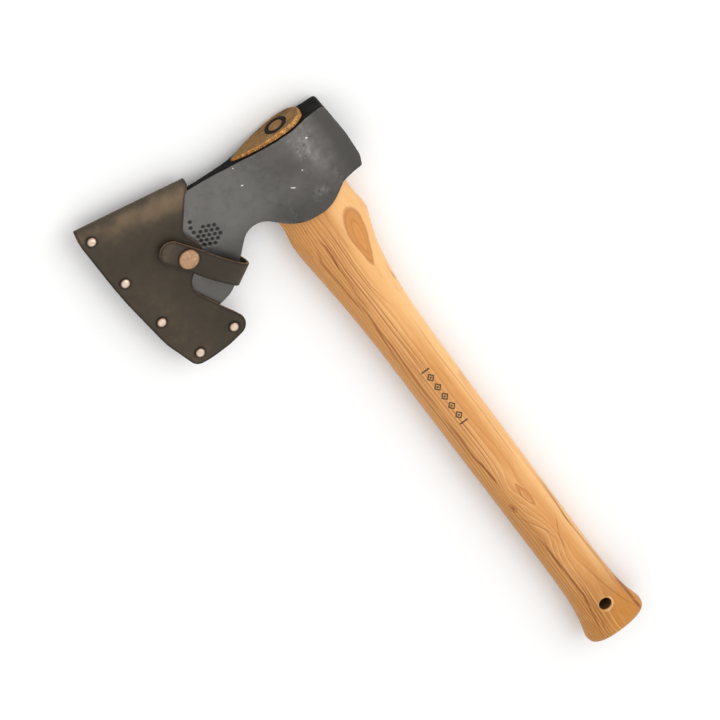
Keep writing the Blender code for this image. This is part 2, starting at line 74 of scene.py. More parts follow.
# x, front, back, half thickness, and how oval the section is (0 is the eye's teardrop).
HANDLE_STATIONS = (
    (72, -20.6, 34.3, 12.3, 0.35), (80, -21.6, 35.3, 12.8, 0.6), (86, -21.7, 35.5, 12.9, 0.8),
    (92, -21.5, 33.8, 12.9, 0.9), (98, -21.2, 31.8, 12.8, 1.0), (104, -20.9, 29.8, 12.7, 1.0),
    (111, -20.5, 27.7, 12.5, 1.0), (119, -20.0, 25.9, 12.4, 1.0), (133, -19.1, 23.7, 12.2, 1.0),
    (149, -18.3, 21.9, 12.0, 1.0), (168, -17.8, 20.8, 11.8, 1.0), (190, -17.5, 20.0, 11.7, 1.0),
    (224, -17.4, 19.5, 11.6, 1.0), (280, -17.4, 19.2, 11.6, 1.0), (330, -17.5, 19.1, 11.5, 1.0),
    (380, -17.5, 18.9, 11.4, 1.0), (425, -17.7, 18.7, 11.4, 1.0), (441, -18.0, 18.9, 11.6, 1.0),
    (455, -18.8, 19.4, 12.0, 1.0), (470, -20.6, 20.8, 12.7, 1.0), (482, -23.1, 23.4, 13.1, 1.0),
    (486.5, -24.0, 24.2, 13.0, 1.0), (490.2, -23.4, 23.7, 12.2, 1.0), (492.9, -21.0, 22.0, 10.4, 1.0),
    (494.3, -17.6, 19.2, 8.2, 1.0),
)
LANYARD_HOLE = (464.8, 1.4)
LANYARD_RADIUS = 4.7
RING_Y = 18.5
RING_OUTER = 8.4
RING_INNER = 5.4
RING_BOTTOM_X = 11.5
LEATHER = 2.2
FLARE = math.radians(13.2)
FOLD_START = np.array((-14.9, -54.0))
RIM_Y = -133.0
THROAT_Y = -52.0
RIM_MID = 2.2
THROAT_MID = 5.6
TAB_CLOSED_X = 88.5
TAB_OPEN_X = 80.0
GUARD_CORNERS = ((-46, -128.7, 0), (-22, -133.8, 30), (27, -133.9, 200), (77, -129.8, 60),
                 (105.2, -122.5, 8), (107.2, -111, 40), (107.4, -95, 40), (104.2, -73.1, 9),
                 (52.6, -94.2, 12), (32.2, -69.0, 3.5), (15.4, -74.8, 9), (-6.4, -58.0, 8),
                 (-10.9, -52.4, 2.5), (-34, -47.5, 0))
TAB_RELIEF = ((50.0, -98.2), (101.0, -77.4))  # the back panel stays below this line at the heel tab
WELT_CORNERS = ((-27, -131.9, 0.5), (-21.5, -133.0, 30), (27, -133.0, 200), (77, -129.0, 60),
                (104.6, -121.9, 7.6), (106.8, -111, 40), (107.0, -95, 40), (103.8, -73.8, 8.6),
                (91.8, -79.9, 0.8), (84.6, -116.8, 4), (50, -121.5, 60), (-25.0, -121.6, 0.5))
RIM_RIVETS = ((-20.5, -125.9), (20.0, -125.6), (60.7, -122.7), (97.9, -115.0), (98.0, -86.1))
CAP_RADIUS = 3.4
SNAP = np.array((31.0, -81.8))
STRAP_ANGLE = math.radians(30.5)
STRAP_WAY = np.array((math.cos(STRAP_ANGLE), math.sin(STRAP_ANGLE)))
STRAP_SIDE = np.array((-math.sin(STRAP_ANGLE), math.cos(STRAP_ANGLE)))
STRAP_WIDTH = 17.0
STRAP_THICKNESS = 2.2
STRAP_END = -21.5
TAIL_END = -20.0
BEND_START = 12.0
FOLD_CENTRE = 37.2
FOLD_INNER = 6.8
FLAP_LEVEL = 8.6
FLAP_ARCH = ((8.2, 8.6), (12.5, 10.1), (24.0, 10.1), (31.0, 8.9))
TAIL_LEVEL = 6.3
STRAP_RIVETS = (2.0, -12.0)
SNAP_CAP_RADIUS = 7.5

# ---- the view
VIEW_TILT = math.radians(31.5)  # the camera leans this far from square on, towards the top of the head
VIEW_ROLL = math.radians(37.5)
VIEW_DISTANCE = 3.0
VIEW_TARGET = Vector((ORIGIN + (182.1, -32.0, 0.0)) * MM)
VIEW_WIDTH = 0.4968  # width of the picture at the target
SKY_STRENGTH = 0.88
LIGHTS = (("key", (-0.25, 1.15, 1.35), 2.0, 12), ("fill", (-1.3, -0.5, 1.5), 1.8, 4))  # place, size, watts
FLOOR_SIZE = 6
FLOOR_GAP = 0.0002


# ---------------------------------------------------------------- camera, light and floor

def make_camera():
    back = Vector((-math.sin(VIEW_TILT), 0, math.cos(VIEW_TILT)))
    across = Vector((math.cos(VIEW_TILT), 0, math.sin(VIEW_TILT)))
    poll_way = Vector((0, 1, 0))
    right = math.cos(VIEW_ROLL) * poll_way + math.sin(VIEW_ROLL) * across
    down = math.cos(VIEW_ROLL) * across - math.sin(VIEW_ROLL) * poll_way
    data = bpy.data.cameras.new("camera")
    data.lens = data.sensor_width * VIEW_DISTANCE / VIEW_WIDTH
    data.clip_end = 20
    camera = bpy.data.objects.new("camera", data)
    bpy.context.scene.collection.objects.link(camera)
    turn = Matrix((right, -down, back)).transposed().to_4x4()
    camera.matrix_world = Matrix.Translation(VIEW_TARGET + back * VIEW_DISTANCE) @ turn
    bpy.context.scene.camera = camera


def make_light(name, place, size, power):
    data = bpy.data.lights.new(name, "AREA")
    data.shape = "DISK"
    data.size = size
    data.energy = power
    lamp = bpy.data.objects.new(name, data)
    bpy.context.scene.collection.objects.link(lamp)
    lamp.location = place
    lamp.rotation_mode = "QUATERNION"
    lamp.rotation_quaternion = (VIEW_TARGET - Vector(place)).to_track_quat("-Z", "Y")
    lamp.visible_camera = False


def make_studio():
    world = bpy.data.worlds.new("studio")
    world.use_nodes = True
    sky = world.node_tree.nodes["Background"]
    sky.inputs["Color"].default_value = (1, 1, 1, 1)
    sky.inputs["Strength"].default_value = SKY_STRENGTH
    bpy.context.scene.world = world
    bpy.context.scene.view_settings.view_transform = "Standard"
    for light in LIGHTS:
        make_light(*light)
    bpy.ops.mesh.primitive_plane_add(size=FLOOR_SIZE, location=(0, 0, -FLOOR_GAP))
    floor = bpy.context.object
    floor.name = "floor"
    floor.data.materials.append(Graph("pale_floor", (0.92, 0.92, 0.915)).finish(roughness=0.9))


# ---------------------------------------------------------------- material graphs

class Field:
    """A value in a material's node tree. Arithmetic on it adds math nodes."""

    def __init__(self, graph, socket):
        self.graph = graph
        self.socket = socket

    def __add__(self, other):
        return self.graph.math("ADD", self, other)

    def __sub__(self, other):
        return self.graph.math("SUBTRACT", self, other)

    def __rsub__(self, other):
        return self.graph.math("SUBTRACT", other, self)

    def __mul__(self, other):
        return self.graph.math("MULTIPLY", self, other)

    def __truediv__(self, other):
        return self.graph.math("DIVIDE", self, other)

    def __abs__(self):
        return self.graph.math("ABSOLUTE", self)

    __radd__ = __add__
    __rmul__ = __mul__


class Graph:
    """A material's node tree, and the colour that its tints have built up so far."""

    def __init__(self, name, colour=None):
        self.material = bpy.data.materials.new(name)
        self.material.use_nodes = True
        self.tree = self.material.node_tree
        self.shader = self.tree.nodes["Principled BSDF"]
        self.colour = colour

    def feed(self, socket, value):
        if isinstance(value, Field):
            self.tree.links.new(value.socket, socket)
        else:
            socket.default_value = (*value, 1) if socket.type == "RGBA" else value

    def put(self, kind, inputs, output=0, **settings):
        """Add a node and return one of its outputs."""
        node = self.tree.nodes.new(kind)
        for key, value in settings.items():
            setattr(node, key, value)
        for socket, value in inputs:
            self.feed(node.inputs[socket], value)
        return Field(self, node.outputs[output])

    def math(self, operation, *values):
        return self.put("ShaderNodeMath", enumerate(values), operation=operation)

    def most(self, value, limit):
        """The value, but no more than a limit."""
        return self.math("MINIMUM", value, limit)

    def vector(self, operation, *values, output=0):
        return self.put("ShaderNodeVectorMath", enumerate(values), output, operation=operation)

    def mix(self, factor, first, second):
        return self.put("ShaderNodeMix", ((0, factor), (6, first), (7, second)), 2, data_type="RGBA")

    def tint(self, mask, colour, strength=1.0):
        """Lay a colour over the material's colour where the mask is 1."""
        self.colour = self.mix(mask if strength == 1 else mask * strength, self.colour, colour)

    def smooth(self, value, low, high, start=0.0, end=1.0):
        """A soft step from start to end while the value goes from low to high."""
        sockets = enumerate((value, low, high, start, end))
        return self.put("ShaderNodeMapRange", sockets, interpolation_type="SMOOTHSTEP")

    def noise(self, place, scale, detail=3.0, roughness=0.5, stretch=(1, 1, 1)):
        """Noise of about 0 to 1. Its scale is in cycles per millimetre."""
        scaled = self.vector("MULTIPLY", place, tuple(scale * s for s in stretch))
        sockets = (("Vector", scaled), ("Scale", 1.0), ("Detail", detail), ("Roughness", roughness))
        return self.put("ShaderNodeTexNoise", sockets)

    def cells(self, place, scale):
        scaled = self.vector("MULTIPLY", place, (scale,) * 3)
        return self.put("ShaderNodeTexVoronoi", (("Vector", scaled), ("Scale", 1.0)))

    def blob(self, place, centre, radii):
        """A soft spot: 1 at its centre, falling away over its radii."""
        offset = self.vector("MULTIPLY", self.vector("SUBTRACT", place, centre), tuple(1 / r for r in radii))
        return self.math("EXPONENT", self.vector("DOT_PRODUCT", offset, offset, output=1) * -1.0)

    def lens(self, x, y, centre, length, width, slope, taper, power):
        """A long lens: 1 at its centre, 0 at its outline. Taper slims its far end, power blunts its ends."""
        dx = x - centre[0]
        dy = y - centre[1] - dx * slope
        along = dx * (1 / length)
        aside = abs(dy * (1 / width) * (along * taper + 1.0))
        return self.math("MAXIMUM", 1.0 - (along * along + self.math("POWER", aside, power)), 0.0)

    def grain_line(self, x, y, points, half_width):
        """A thin line through points along X: 1 on it, 0 beside it, fading out at both ends."""
        middle = points[0][1]
        for (x0, y0), (x1, y1) in zip(points, points[1:]):
            middle += self.put("ShaderNodeMapRange", enumerate((x, x0, x1, 0.0, y1 - y0)))
        first, last = points[0][0], points[-1][0]
        fade = 0.30 * (last - first)
        ends = self.smooth(x, first, first + fade) * self.smooth(x, last, last - fade)
        return self.smooth(abs(y - middle), half_width, 0.25 * half_width) * ends

    def attribute(self, name, output="Fac"):
        return self.put("ShaderNodeAttribute", (), output, attribute_name=name)

    def design_place(self):
        """Where the surface is, in design millimetres."""
        row = self.put("ShaderNodeTexCoord", (), "Object")
        return self.vector("SUBTRACT", self.vector("MULTIPLY", row, (1 / MM,) * 3), tuple(ORIGIN))

    def parts(self, place):
        node = self.tree.nodes.new("ShaderNodeSeparateXYZ")
        self.feed(node.inputs[0], place)
        return [Field(self, output) for output in node.outputs]

    def normal_parts(self):
        return self.parts(self.put("ShaderNodeTexCoord", (), "Normal"))

    def finish(self, roughness, metallic=0.0, height=None, depth=0.1, specular=0.5):
        """Feed the shader. height is a bump field and depth its size in millimetres."""
        values = {"Base Color": self.colour, "Roughness": roughness, "Metallic": metallic,
                  "Specular IOR Level": specular}
        if height is not None:
            sockets = (("Height", height), ("Distance", depth * MM), ("Strength", 1.0))
            values["Normal"] = self.put("ShaderNodeBump", sockets, "Normal")
        for name, value in values.items():
            self.feed(self.shader.inputs[name], value)
        return self.material


# Rubbed patches on the cheeks: place, radii, and how light they are.
RUBBED = ((13.5, 22.0, 8.0, 6.5, 1.0), (5.5, 30.0, 6.0, 6.0, 0.55), (22.0, 27.0, 9.0, 4.5, 0.55),
          (3.0, 19.0, 5.0, 4.0, 0.45), (49.5, 16.0, 5.5, 8.0, 0.75), (33.0, 18.0, 11.0, 7.0, 0.40),
          (8.0, -20.0, 14.0, 10.0, 0.20))
RUBBED_HEIGHT = 12.0  # the patches lie on the upper cheek
# Small bright nicks: place, half length, half width, and the way they lie.
NICKS = ((35.2, 2.8, 1.9, 0.60, 0.95), (14.0, -23.5, 0.95, 0.50, 1.3), (-0.8, -21.5, 0.7, 0.4, 0.3),
         (10.5, 29.8, 1.0, 0.55, 1.0), (27.4, 14.7, 0.6, 0.45, 0.4))


def forged_steel():
    """Satin grey cheeks with ragged rubbed patches and nicks, painted light towards the throat, painted shade
    towards the poll and lugs, and black edge faces that are partly forge scale and partly painted shade.
    """
    g = Graph("forged_steel")
    place = g.design_place()
    x, y, z = g.parts(place)
    mottle = g.noise(place, 0.16, 5, 0.62)
    ragged = (g.noise(place, 0.12, 4, 0.65) - 0.5) * 1.5
    rubbed = sum(g.blob(place, (px, py, RUBBED_HEIGHT), (rx, ry, 16)) * share
                 for px, py, rx, ry, share in RUBBED)
    patch = g.smooth(rubbed + ragged, 0.25, 0.95)
    flecked = patch * g.smooth(g.noise(place, 0.34, 5, 0.70), 0.46, 0.60)
    dark_pits = g.smooth(rubbed, 0.30, 0.8) * g.smooth(g.noise(place, 0.42, 2), 0.36, 0.30)
    broad = g.smooth(g.noise(place, 0.030, 2), 0.3, 0.7)
    g.colour = g.mix(broad, (0.132, 0.124, 0.117), (0.176, 0.166, 0.156))
    # Painted light towards the throat, and painted shade towards the poll and the lugs, where the cheek turns
    # from the light.
    g.tint(g.smooth(y, 8.0, -36.0), (0.222, 0.215, 0.204), 0.45)
    shaded = g.smooth(y, 26.0, 46.0) + g.smooth(x, 30.0, 58.0) * 0.9
    g.tint(g.most(shaded, 1.0), (0.078, 0.073, 0.068), 0.75)
    g.tint(g.smooth(mottle, 0.45, 0.8), (0.085, 0.080, 0.075), 0.30)
    g.tint(patch, (0.240, 0.230, 0.219), 0.24)
    g.tint(flecked, (0.350, 0.336, 0.320), 0.45)
    g.tint(g.smooth(y, -64.0, -74.0), (0.260, 0.248, 0.236), 0.2)
    g.tint(dark_pits, (0.045, 0.042, 0.040), 0.75)
    nick = 0.0
    for px, py, length, width, turn in NICKS:
        offset = g.vector("SUBTRACT", g.vector("MULTIPLY", place, (1, 1, 0)), (px, py, 0))
        sockets = (("Vector", offset), ("Angle", -turn))
        lying = g.put("ShaderNodeVectorRotate", sockets, rotation_type="Z_AXIS")
        reach = g.vector("LENGTH", g.vector("MULTIPLY", lying, (1 / length, 1 / width, 0)), output=1)
        nick += g.smooth(reach + ragged * 0.3, 1.25, 0.65)
    nick = g.most(nick, 1.0) * g.smooth(z, 0.0, 2.0)
    g.tint(nick, (0.74, 0.72, 0.69))
    # The edge faces are near black: partly forge scale, partly painted shade.
    steep = abs(g.normal_parts()[2])
    side = g.smooth(steep, 0.76, 0.36)
    g.tint(side, (0.0085, 0.008, 0.0075), 0.98)
    bevel = g.smooth(steep, 0.99, 0.90) * g.smooth(steep, 0.66, 0.84)
    g.tint(bevel, (0.035, 0.033, 0.031), 0.45)
    g.tint(bevel * g.smooth(g.noise(place, 0.20, 4, 0.6), 0.50, 0.62), (0.30, 0.29, 0.28), 0.35)
    ground = g.smooth(y, -100.0, -104.0)
    g.tint(ground, (0.42, 0.42, 0.41))
    g.tint(g.attribute("punch"), (0.016, 0.015, 0.015), 0.85)
    strokes = g.noise(place, 1.0, 3, 0.5, (0.25, 3.0, 1.0))
    roughness = g.smooth(mottle, 0.3, 0.7, 0.42, 0.54) + side * 0.18 - flecked * 0.06
    height = (mottle * 0.50 + g.noise(place, 1.1, 4, 0.6) * 0.26 - nick * 0.5 - dark_pits * 0.5
              + flecked * 0.25 + strokes * ground * 0.3)
    return g.finish(roughness, 1.0, height, 0.12)


def ring_steel():
    """Blackened steel, rubbed a little paler in places."""
    g = Graph("ring_steel")
    place = g.design_place()
    worn = g.smooth(g.noise(place, 0.5, 4), 0.45, 0.75)
    g.colour = g.mix(worn * 0.35, (0.0040, 0.0037, 0.0035), (0.013, 0.012, 0.0115))
    height = g.noise(place, 0.9, 4) + g.noise(place, 0.3, 2) * 0.5
    return g.finish(g.smooth(worn, 0.0, 1.0, 0.60, 0.48), 0.6, height, 0.10, specular=0.2)


# Lens-shaped figures in the grain: place along and across the handle, half length, half width, how many rings
# they lift, how dark they are, how sharp their outline is, how they lean and taper, and how blunt they are.
# The first one is the large knot, which has a paler heart.
FIGURES = ((97.5, 18.9, 26.0, 6.6, 2.4, 1.0, 0.25, -0.15, 0.55, 1.45),
           (347.0, 3.0, 13.0, 2.7, 0.8, 0.8, 0.85, 0.095, 0.0, 1.1),
           (351.7, -10.2, 4.5, 2.2, 0.6, 1.5, 0.9, 0.0, 0.0, 1.5),
           (262.0, 10.0, 46.0, 4.0, 0.6, 0.0, 0.0, 0.0, 0.0, 1.0),
           (190.0, 11.0, 38.0, 4.5, 0.6, 0.0, 0.0, 0.0, 0.0, 1.0))
EYE_KNOT = (351.7, -10.2, 12.0)  # the small dark knot
# Bends of the grain around the knot near the butt: place, radii, and how many rings they lift.
BENDS = ((334.0, -4.0, 16.0, 8.0, -1.3), (386.0, -1.0, 20.0, 9.0, 2.2), (444.0, 6.0, 26.0, 7.0, 1.2))
# Dark lines in the grain: half width, strength, and places along and across the handle.
GRAIN_LINES = (
    (0.75, 0.95, ((78, -5.6), (87, -4.1), (96, -4.6), (112, -6.3))),
    (0.80, 0.55, ((98, -5.2), (134, -6.6), (156, -5.3))),
    (0.95, 0.65, ((77, -8.0), (97, -12.7), (112, -11.7), (131, -11.1), (158, -9.2))),
    (0.45, 0.55, ((76, 12.5), (90, 5.6), (110, 4.4), (132, 4.5), (149, 6.5), (162, 9.5))),
    (0.50, 0.55, ((66, -2.6), (84, -2.4), (112, -4.6), (142, -4.2))),
    (0.45, 0.60, ((66, -0.8), (84, -0.6), (112, -2.8), (150, -2.0), (195, -3.0))),
    (0.45, 0.55, ((66, 1.0), (86, 0.9), (112, -1.0), (150, 0.2), (205, 0.6))),
    (0.40, 0.45, ((68, 2.9), (88, 2.5), (114, 1.0), (155, 2.0))),
    (0.40, 0.45, ((70, 4.8), (88, 3.9), (110, 2.8), (145, 3.2))),
    (0.60, 0.60, ((128, 21.8), (136, 21.4), (148, 21.6))),
    (0.85, 0.70, ((145, -8.0), (168, -9.4), (182, -8.7), (200, -9.6), (222, -10.0), (262, -9.1))),
    (0.80, 0.55, ((118, -9.2), (150, -8.4), (190, -11.8), (222, -12.6))),
    (0.80, 0.55, ((206, -12.9), (262, -12.2), (306, -12.6))),
    (0.85, 0.80, ((243, -10.4), (276, -9.7), (297, -10.4), (313, -8.5), (336, -8.4))),
    (0.75, 0.95, ((300, -8.6), (312, -8.6), (328, -7.8))),
    (0.45, 0.50, ((150, -4.5), (182, -1.8), (207, -0.8), (263, -2.1), (296, -1.4), (326, -2.4), (343, -7.6),
                  (351, -11.5))),
    (0.50, 0.50, ((180, -5.2), (240, -4.4), (296, -4.0), (322, -5.0), (340, -9.0), (350, -13.0))),
    (0.50, 0.55, ((352, -15.0), (357, -12.6), (369, -6.8), (382, -0.3), (402, 2.3))),
    (0.45, 0.50, ((374, 12.5), (394, 4.6), (410, 1.9))),
    (0.95, 0.95, ((364, -10.8), (378, -7.9), (398, -7.8), (419, -7.7), (448, -7.4), (470, -11.0),
                  (496, -16.0))),
    (0.50, 0.55, ((420, 5.2), (445, 8.5), (461, 11.1), (488, 18.5))),
    (0.60, 0.65, ((430, -4.0), (451, -5.6), (474, -8.2), (492, -12.0))),
    (0.55, 0.50, ((414, -3.0), (440, -2.6), (468, -5.4), (492, -9.0))),
    (0.55, 0.70, ((345, 18.0), (372, 16.9), (400, 15.3))),
    (0.50, 0.55, ((376, 15.8), (414, 16.6), (450, 17.8))),
    (1.20, 0.90, ((450, 18.7), (476, 19.8), (500, 20.5))),
    (0.45, 0.45, ((158, 14.5), (210, 13.2), (280, 14.0), (340, 13.0))),
)


def hickory():
    """Oiled hickory: darker close grain along the front, partly painted shade, a pale back with figures and a
    painted highlight along its edge, and mineral streaks.
    """
    g = Graph("hickory")
    place = g.design_place()
    x, y, z = g.parts(place)

    # The growth rings, bent by the figures.
    wander = g.noise(place, 0.045, 2, 0.5, (0.12, 1, 1))
    drift = g.noise(place, 0.16, 3, 0.55, (0.07, 1, 1))
    across = 24.0 - (y + z * 0.22)
    rings = across * across * 0.0070 + wander * 2.6 + drift * 0.9
    for along, side, length, width, lift in BENDS:
        rings += g.blob(place, (along, side, 12), (length, width, 20)) * lift
    knots, lens_edge, figures = 0.0, 0.0, []
    swayed = y + (g.noise(place, 0.09, 3, 0.55, (0.6, 1, 1)) - 0.5) * 3.2
    for along, side, length, width, lift, dark, edge, lean, taper, power in FIGURES:
        figure = g.lens(x, swayed, (along, side), length, width, lean, taper, power)
        figures.append(figure)
        rings += figure * lift
        knots += g.smooth(figure, 0.0, 0.24) * dark
        lens_edge += g.smooth(figure, 0.0, 0.08) * g.smooth(figure, 0.26, 0.08) * edge
    phase = g.math("FRACT", rings)
    late = g.smooth(phase, 0.35, 0.93) * g.smooth(phase, 1.0, 0.955)
    year = g.put("ShaderNodeCombineXYZ", ((0, rings), (1, x * 0.004)))
    season = g.smooth(g.noise(year, 0.9, 1), 0.35, 0.7)
    fade = g.smooth(g.noise(place, 0.03, 2, 0.5, (0.5, 1, 1)), 0.30, 0.62)
    plain_back = g.smooth(y, 1.5, 8.0) * g.smooth(x, 110.0, 150.0) * g.smooth(y, 17.0, 14.0)
    plain_front = g.smooth(y, -6.0, -14.0) * g.smooth(x, 330.0, 250.0, 0.50, 0.85)
    line = late * (season * 0.60 + 0.40) * (fade * 0.55 + 0.45)
    line *= (1.0 - plain_front) * (1.0 - plain_back * 0.72)

    # Broad colour: front, back, knots, shoulder and butt. The darker front is partly painted shade, and the
    # back edge carries a painted highlight.
    tone = g.smooth(g.noise(place, 0.07, 3, 0.5, (0.12, 1, 1)), 0.32, 0.68)
    g.colour = g.mix(tone, (0.775, 0.400, 0.145), (0.640, 0.288, 0.086))
    # Darker front: partly close grain, partly painted shade on the side turned from the light.
    front = g.smooth(y + (wander - 0.5) * 14.0, 5.0, -14.0)
    g.tint(front * g.smooth(x, 230.0, 390.0, 0.64, 0.94), (0.440, 0.186, 0.042))
    # Painted highlight along the back edge, on the side the light falls on.
    g.tint(g.smooth(y + (wander - 0.5) * 8.0, 8.0, 17.0), (0.920, 0.560, 0.240), 0.60)
    g.tint(g.most(knots * 0.84, 0.9), (0.520, 0.200, 0.046))
    g.tint(g.smooth(figures[0], 0.36, 0.70), (0.660, 0.290, 0.066), 0.50)
    g.tint(g.smooth(x, 116.0, 78.0) * g.smooth(y, 18.0, 4.0), (0.520, 0.220, 0.056), 0.55)
    g.tint(g.smooth(x, 405.0, 480.0), (0.425, 0.168, 0.026), 0.90)
    patch = g.smooth(x + y * 0.55 + swayed * 0.35, 472.0, 479.0) * g.smooth(swayed, -7.0, -3.5)
    g.tint(patch, (0.520, 0.205, 0.030), 0.80)

    # Grain: ring lines, drawn lines, streaks and pores.
    line *= g.smooth(patch, 0.0, 1.0, 1.0, 0.30)
    pale_band = g.smooth(phase, 0.0, 0.06) * g.smooth(phase, 0.30, 0.08) * g.smooth(y, 9.0, -2.0)
    g.tint(pale_band, (0.930, 0.600, 0.280), 0.34)
    g.tint(line, (0.335, 0.102, 0.014), 0.52)
    g.tint(g.blob(place, EYE_KNOT, (3.2, 1.7, 30.0)), (0.170, 0.052, 0.012), 0.75)
    shaken = y + (drift - 0.5) * 1.6
    lines = lens_edge
    for half_width, strength, points in GRAIN_LINES:
        lines += g.grain_line(x, shaken, points, half_width * 1.3) * strength
    broken = g.smooth(g.noise(place, 0.5, 3, 0.6, (0.05, 1, 1)), 0.22, 0.45)
    g.tint(g.most(lines, 1.0) * broken, (0.185, 0.042, 0.004), 0.84)
    streak = g.smooth(g.noise(place, 0.42, 3, 0.6, (0.024, 1, 1)), 0.60, 0.72)
    g.tint(streak * g.smooth(y, 6.0, -8.0) * fade, (0.250, 0.072, 0.009), 0.42)
    grain = g.noise(place, 2.2, 3, 0.6, (0.030, 1, 1))
    g.tint(g.smooth(grain, 0.56, 0.70), (0.300, 0.115, 0.034), 0.24)
    silk = g.noise(place, 1.3, 2, 0.5, (0.06, 1, 1))
    g.tint(g.smooth(silk, 0.52, 0.75), (0.930, 0.600, 0.310), 0.15)

    # The tenon's end grain and its sawn rim, above the head.
    normal_x = abs(g.normal_parts()[0])
    at_top = g.smooth(x, -0.2, -0.8)
    end_field = g.noise(place, 0.9, 4, 0.6, (1, 0.16, 1))
    end_streak = g.smooth(g.noise(place, 0.35, 3, 0.6, (1, 0.22, 1)), 0.52, 0.66, 0.0, 0.75)
    end_colour = g.mix(g.smooth(end_field, 0.32, 0.66), (0.275, 0.145, 0.038), (0.150, 0.076, 0.020))
    end_colour = g.mix(end_streak, end_colour, (0.085, 0.040, 0.016))
    g.tint(at_top * g.smooth(normal_x, 0.55, 0.80), end_colour)
    fibre = g.noise(place, 1.5, 4, 0.65, (0.30, 1, 1))
    sawn_patch = g.smooth(g.noise(place, 0.28, 3, 0.6, (0.4, 1, 1)), 0.38, 0.62)
    sawn_share = g.most(g.smooth(fibre, 0.38, 0.62) + sawn_patch * 0.45, 1.0)
    sawn_colour = g.mix(sawn_share, (0.820, 0.420, 0.120), (0.260, 0.100, 0.024))
    g.tint(at_top * g.smooth(normal_x, 0.75, 0.50), sawn_colour)

    # The lanyard hole's pale chamfer and dark bore, and the print.
    hole_sum = sum(LANYARD_HOLE)
    bore = g.vector("DISTANCE", g.vector("MULTIPLY", place, (1, 1, 0)), (*LANYARD_HOLE, 0), output=1)
    lower_side = g.smooth(x + y, hole_sum - 2.0, hole_sum + 5.0, 0.15, 1.0)
    chamfer = g.smooth(bore, LANYARD_RADIUS + 1.9, LANYARD_RADIUS + 1.2) * lower_side
    g.tint(chamfer, (0.850, 0.500, 0.225), 0.70)
    g.tint(g.smooth(bore, LANYARD_RADIUS + 0.25, LANYARD_RADIUS + 0.05), (0.060, 0.024, 0.009), 0.95)
    g.tint(print_mask(g, x, y, z), (0.030, 0.022, 0.016))
    height = fibre * at_top * 1.4 + end_field * at_top * 0.5 + silk * 0.15 - grain * 0.5 - line * 0.30
    roughness = g.smooth(silk, 0.3, 0.7, 0.38, 0.48) + at_top * 0.28 + line * 0.06
    return g.finish(roughness, 0.0, height, 0.07, specular=0.32)


PRINT_CENTRE = (240.5, -0.6)
PRINT_STEP = 9.6
PRINT_LOZENGES = 5
PRINT_HALF = PRINT_STEP * PRINT_LOZENGES / 2
LOZENGE_HALF = (4.0, 3.2)  # along and across the handle


def print_mask(g, x, y, z):
    """A plain printed ornament on the upper side: a row of lozenges between two short bars."""
    along = x - PRINT_CENTRE[0]
    across = abs(y - PRINT_CENTRE[1])
    local = g.math("MODULO", along + PRINT_HALF, PRINT_STEP) - PRINT_STEP / 2
    lozenge = abs(local) / LOZENGE_HALF[0] + across / LOZENGE_HALF[1]
    within = g.math("LESS_THAN", abs(along), PRINT_HALF)
    shell = g.smooth(lozenge, 1.0, 0.93) * g.smooth(lozenge, 0.52, 0.59)
    from_bar = abs(abs(along) - (PRINT_HALF + 2.2))
    bar = g.smooth(from_bar, 0.75, 0.60) * g.smooth(across, 3.4, 3.2)
    mark = g.math("MAXIMUM", (shell + g.smooth(lozenge, 0.34, 0.27)) * within, bar)
    worn = g.smooth(g.noise(g.design_place(), 2.4, 3), 0.30, 0.42, 0.55, 0.92)
    return mark * g.math("GREATER_THAN", z, 2.0) * worn


def hide(name, light, middle, dark, cut_edge):
    """Oiled pull-up leather. Its cut edges are tan, with a dark burnished line beside them."""
    g = Graph(name)
    flat = g.attribute("flat", "Vector")
    wall = g.attribute("wall")
    cloud = g.smooth(g.noise(flat, 0.045, 4, 0.6), 0.3, 0.7, -0.07, 0.08)
    blotch = g.smooth(g.noise(flat, 0.16, 4, 0.65), 0.35, 0.7, -0.04, 0.05)
    # The tone lifts the colour towards the light colour; on the guard it is partly a painted highlight along
    # the fold.
    share = g.attribute("tone") + cloud + blotch
    g.colour = g.mix(g.smooth(share, -0.05, 0.5), dark, middle)
    g.tint(g.smooth(share, 0.35, 1.05), light)
    cool = tuple(c * k for c, k in zip(middle, (0.774, 0.9, 1.035)))
    g.tint(g.smooth(g.noise(flat, 0.07, 2), 0.52, 0.75), cool, 0.35)
    g.tint(g.smooth(g.attribute("rim"), 2.2, 0.7), (0.012, 0.008, 0.006), 0.70)
    worn_edge = g.smooth(g.noise(flat, 0.5, 4), 0.4, 0.7)
    g.tint(wall, g.mix(worn_edge, cut_edge, tuple(0.45 * c for c in cut_edge)))
    # Dark stains, and painted shade beside the strap and round the rivet and snap caps.
    g.tint(g.attribute("stain_and_painted_shade"), (0.007, 0.005, 0.004), 0.90)
    height = g.cells(flat, 1.5) * 0.45 + g.noise(flat, 2.6, 4, 0.65) * 0.5 + g.noise(flat, 0.35, 5, 0.6) * 0.9
    roughness = g.smooth(g.noise(flat, 0.11, 3), 0.4, 0.7) * 0.10 + wall * 0.22 + 0.50
    return g.finish(roughness, 0.0, height, 0.10, specular=0.26)


def worn_metal(name, high, low, roughness):
    """Worn plated cap: bright crown, darker rubbed patches and a dark rim."""
    g = Graph(name)
    place = g.design_place()
    rim = g.attribute("rim")
    patches = g.smooth(g.noise(place, 0.35, 5, 0.6), 0.42, 0.70)
    g.colour = g.mix(patches * 0.45, high, low)
    g.tint(g.smooth(rim, 1.6, 0.6), tuple(0.75 * c for c in low), 0.80)
    g.tint(g.smooth(rim, 0.70, 0.20), tuple(0.20 * c for c in low), 0.88)
    height = g.noise(place, 2.5, 4, 0.6) + patches * 0.4
    return g.finish(g.smooth(patches, 0.0, 1.0, roughness, roughness + 0.14), 1.0, height, 0.035)


# ---------------------------------------------------------------- outlines and surfaces

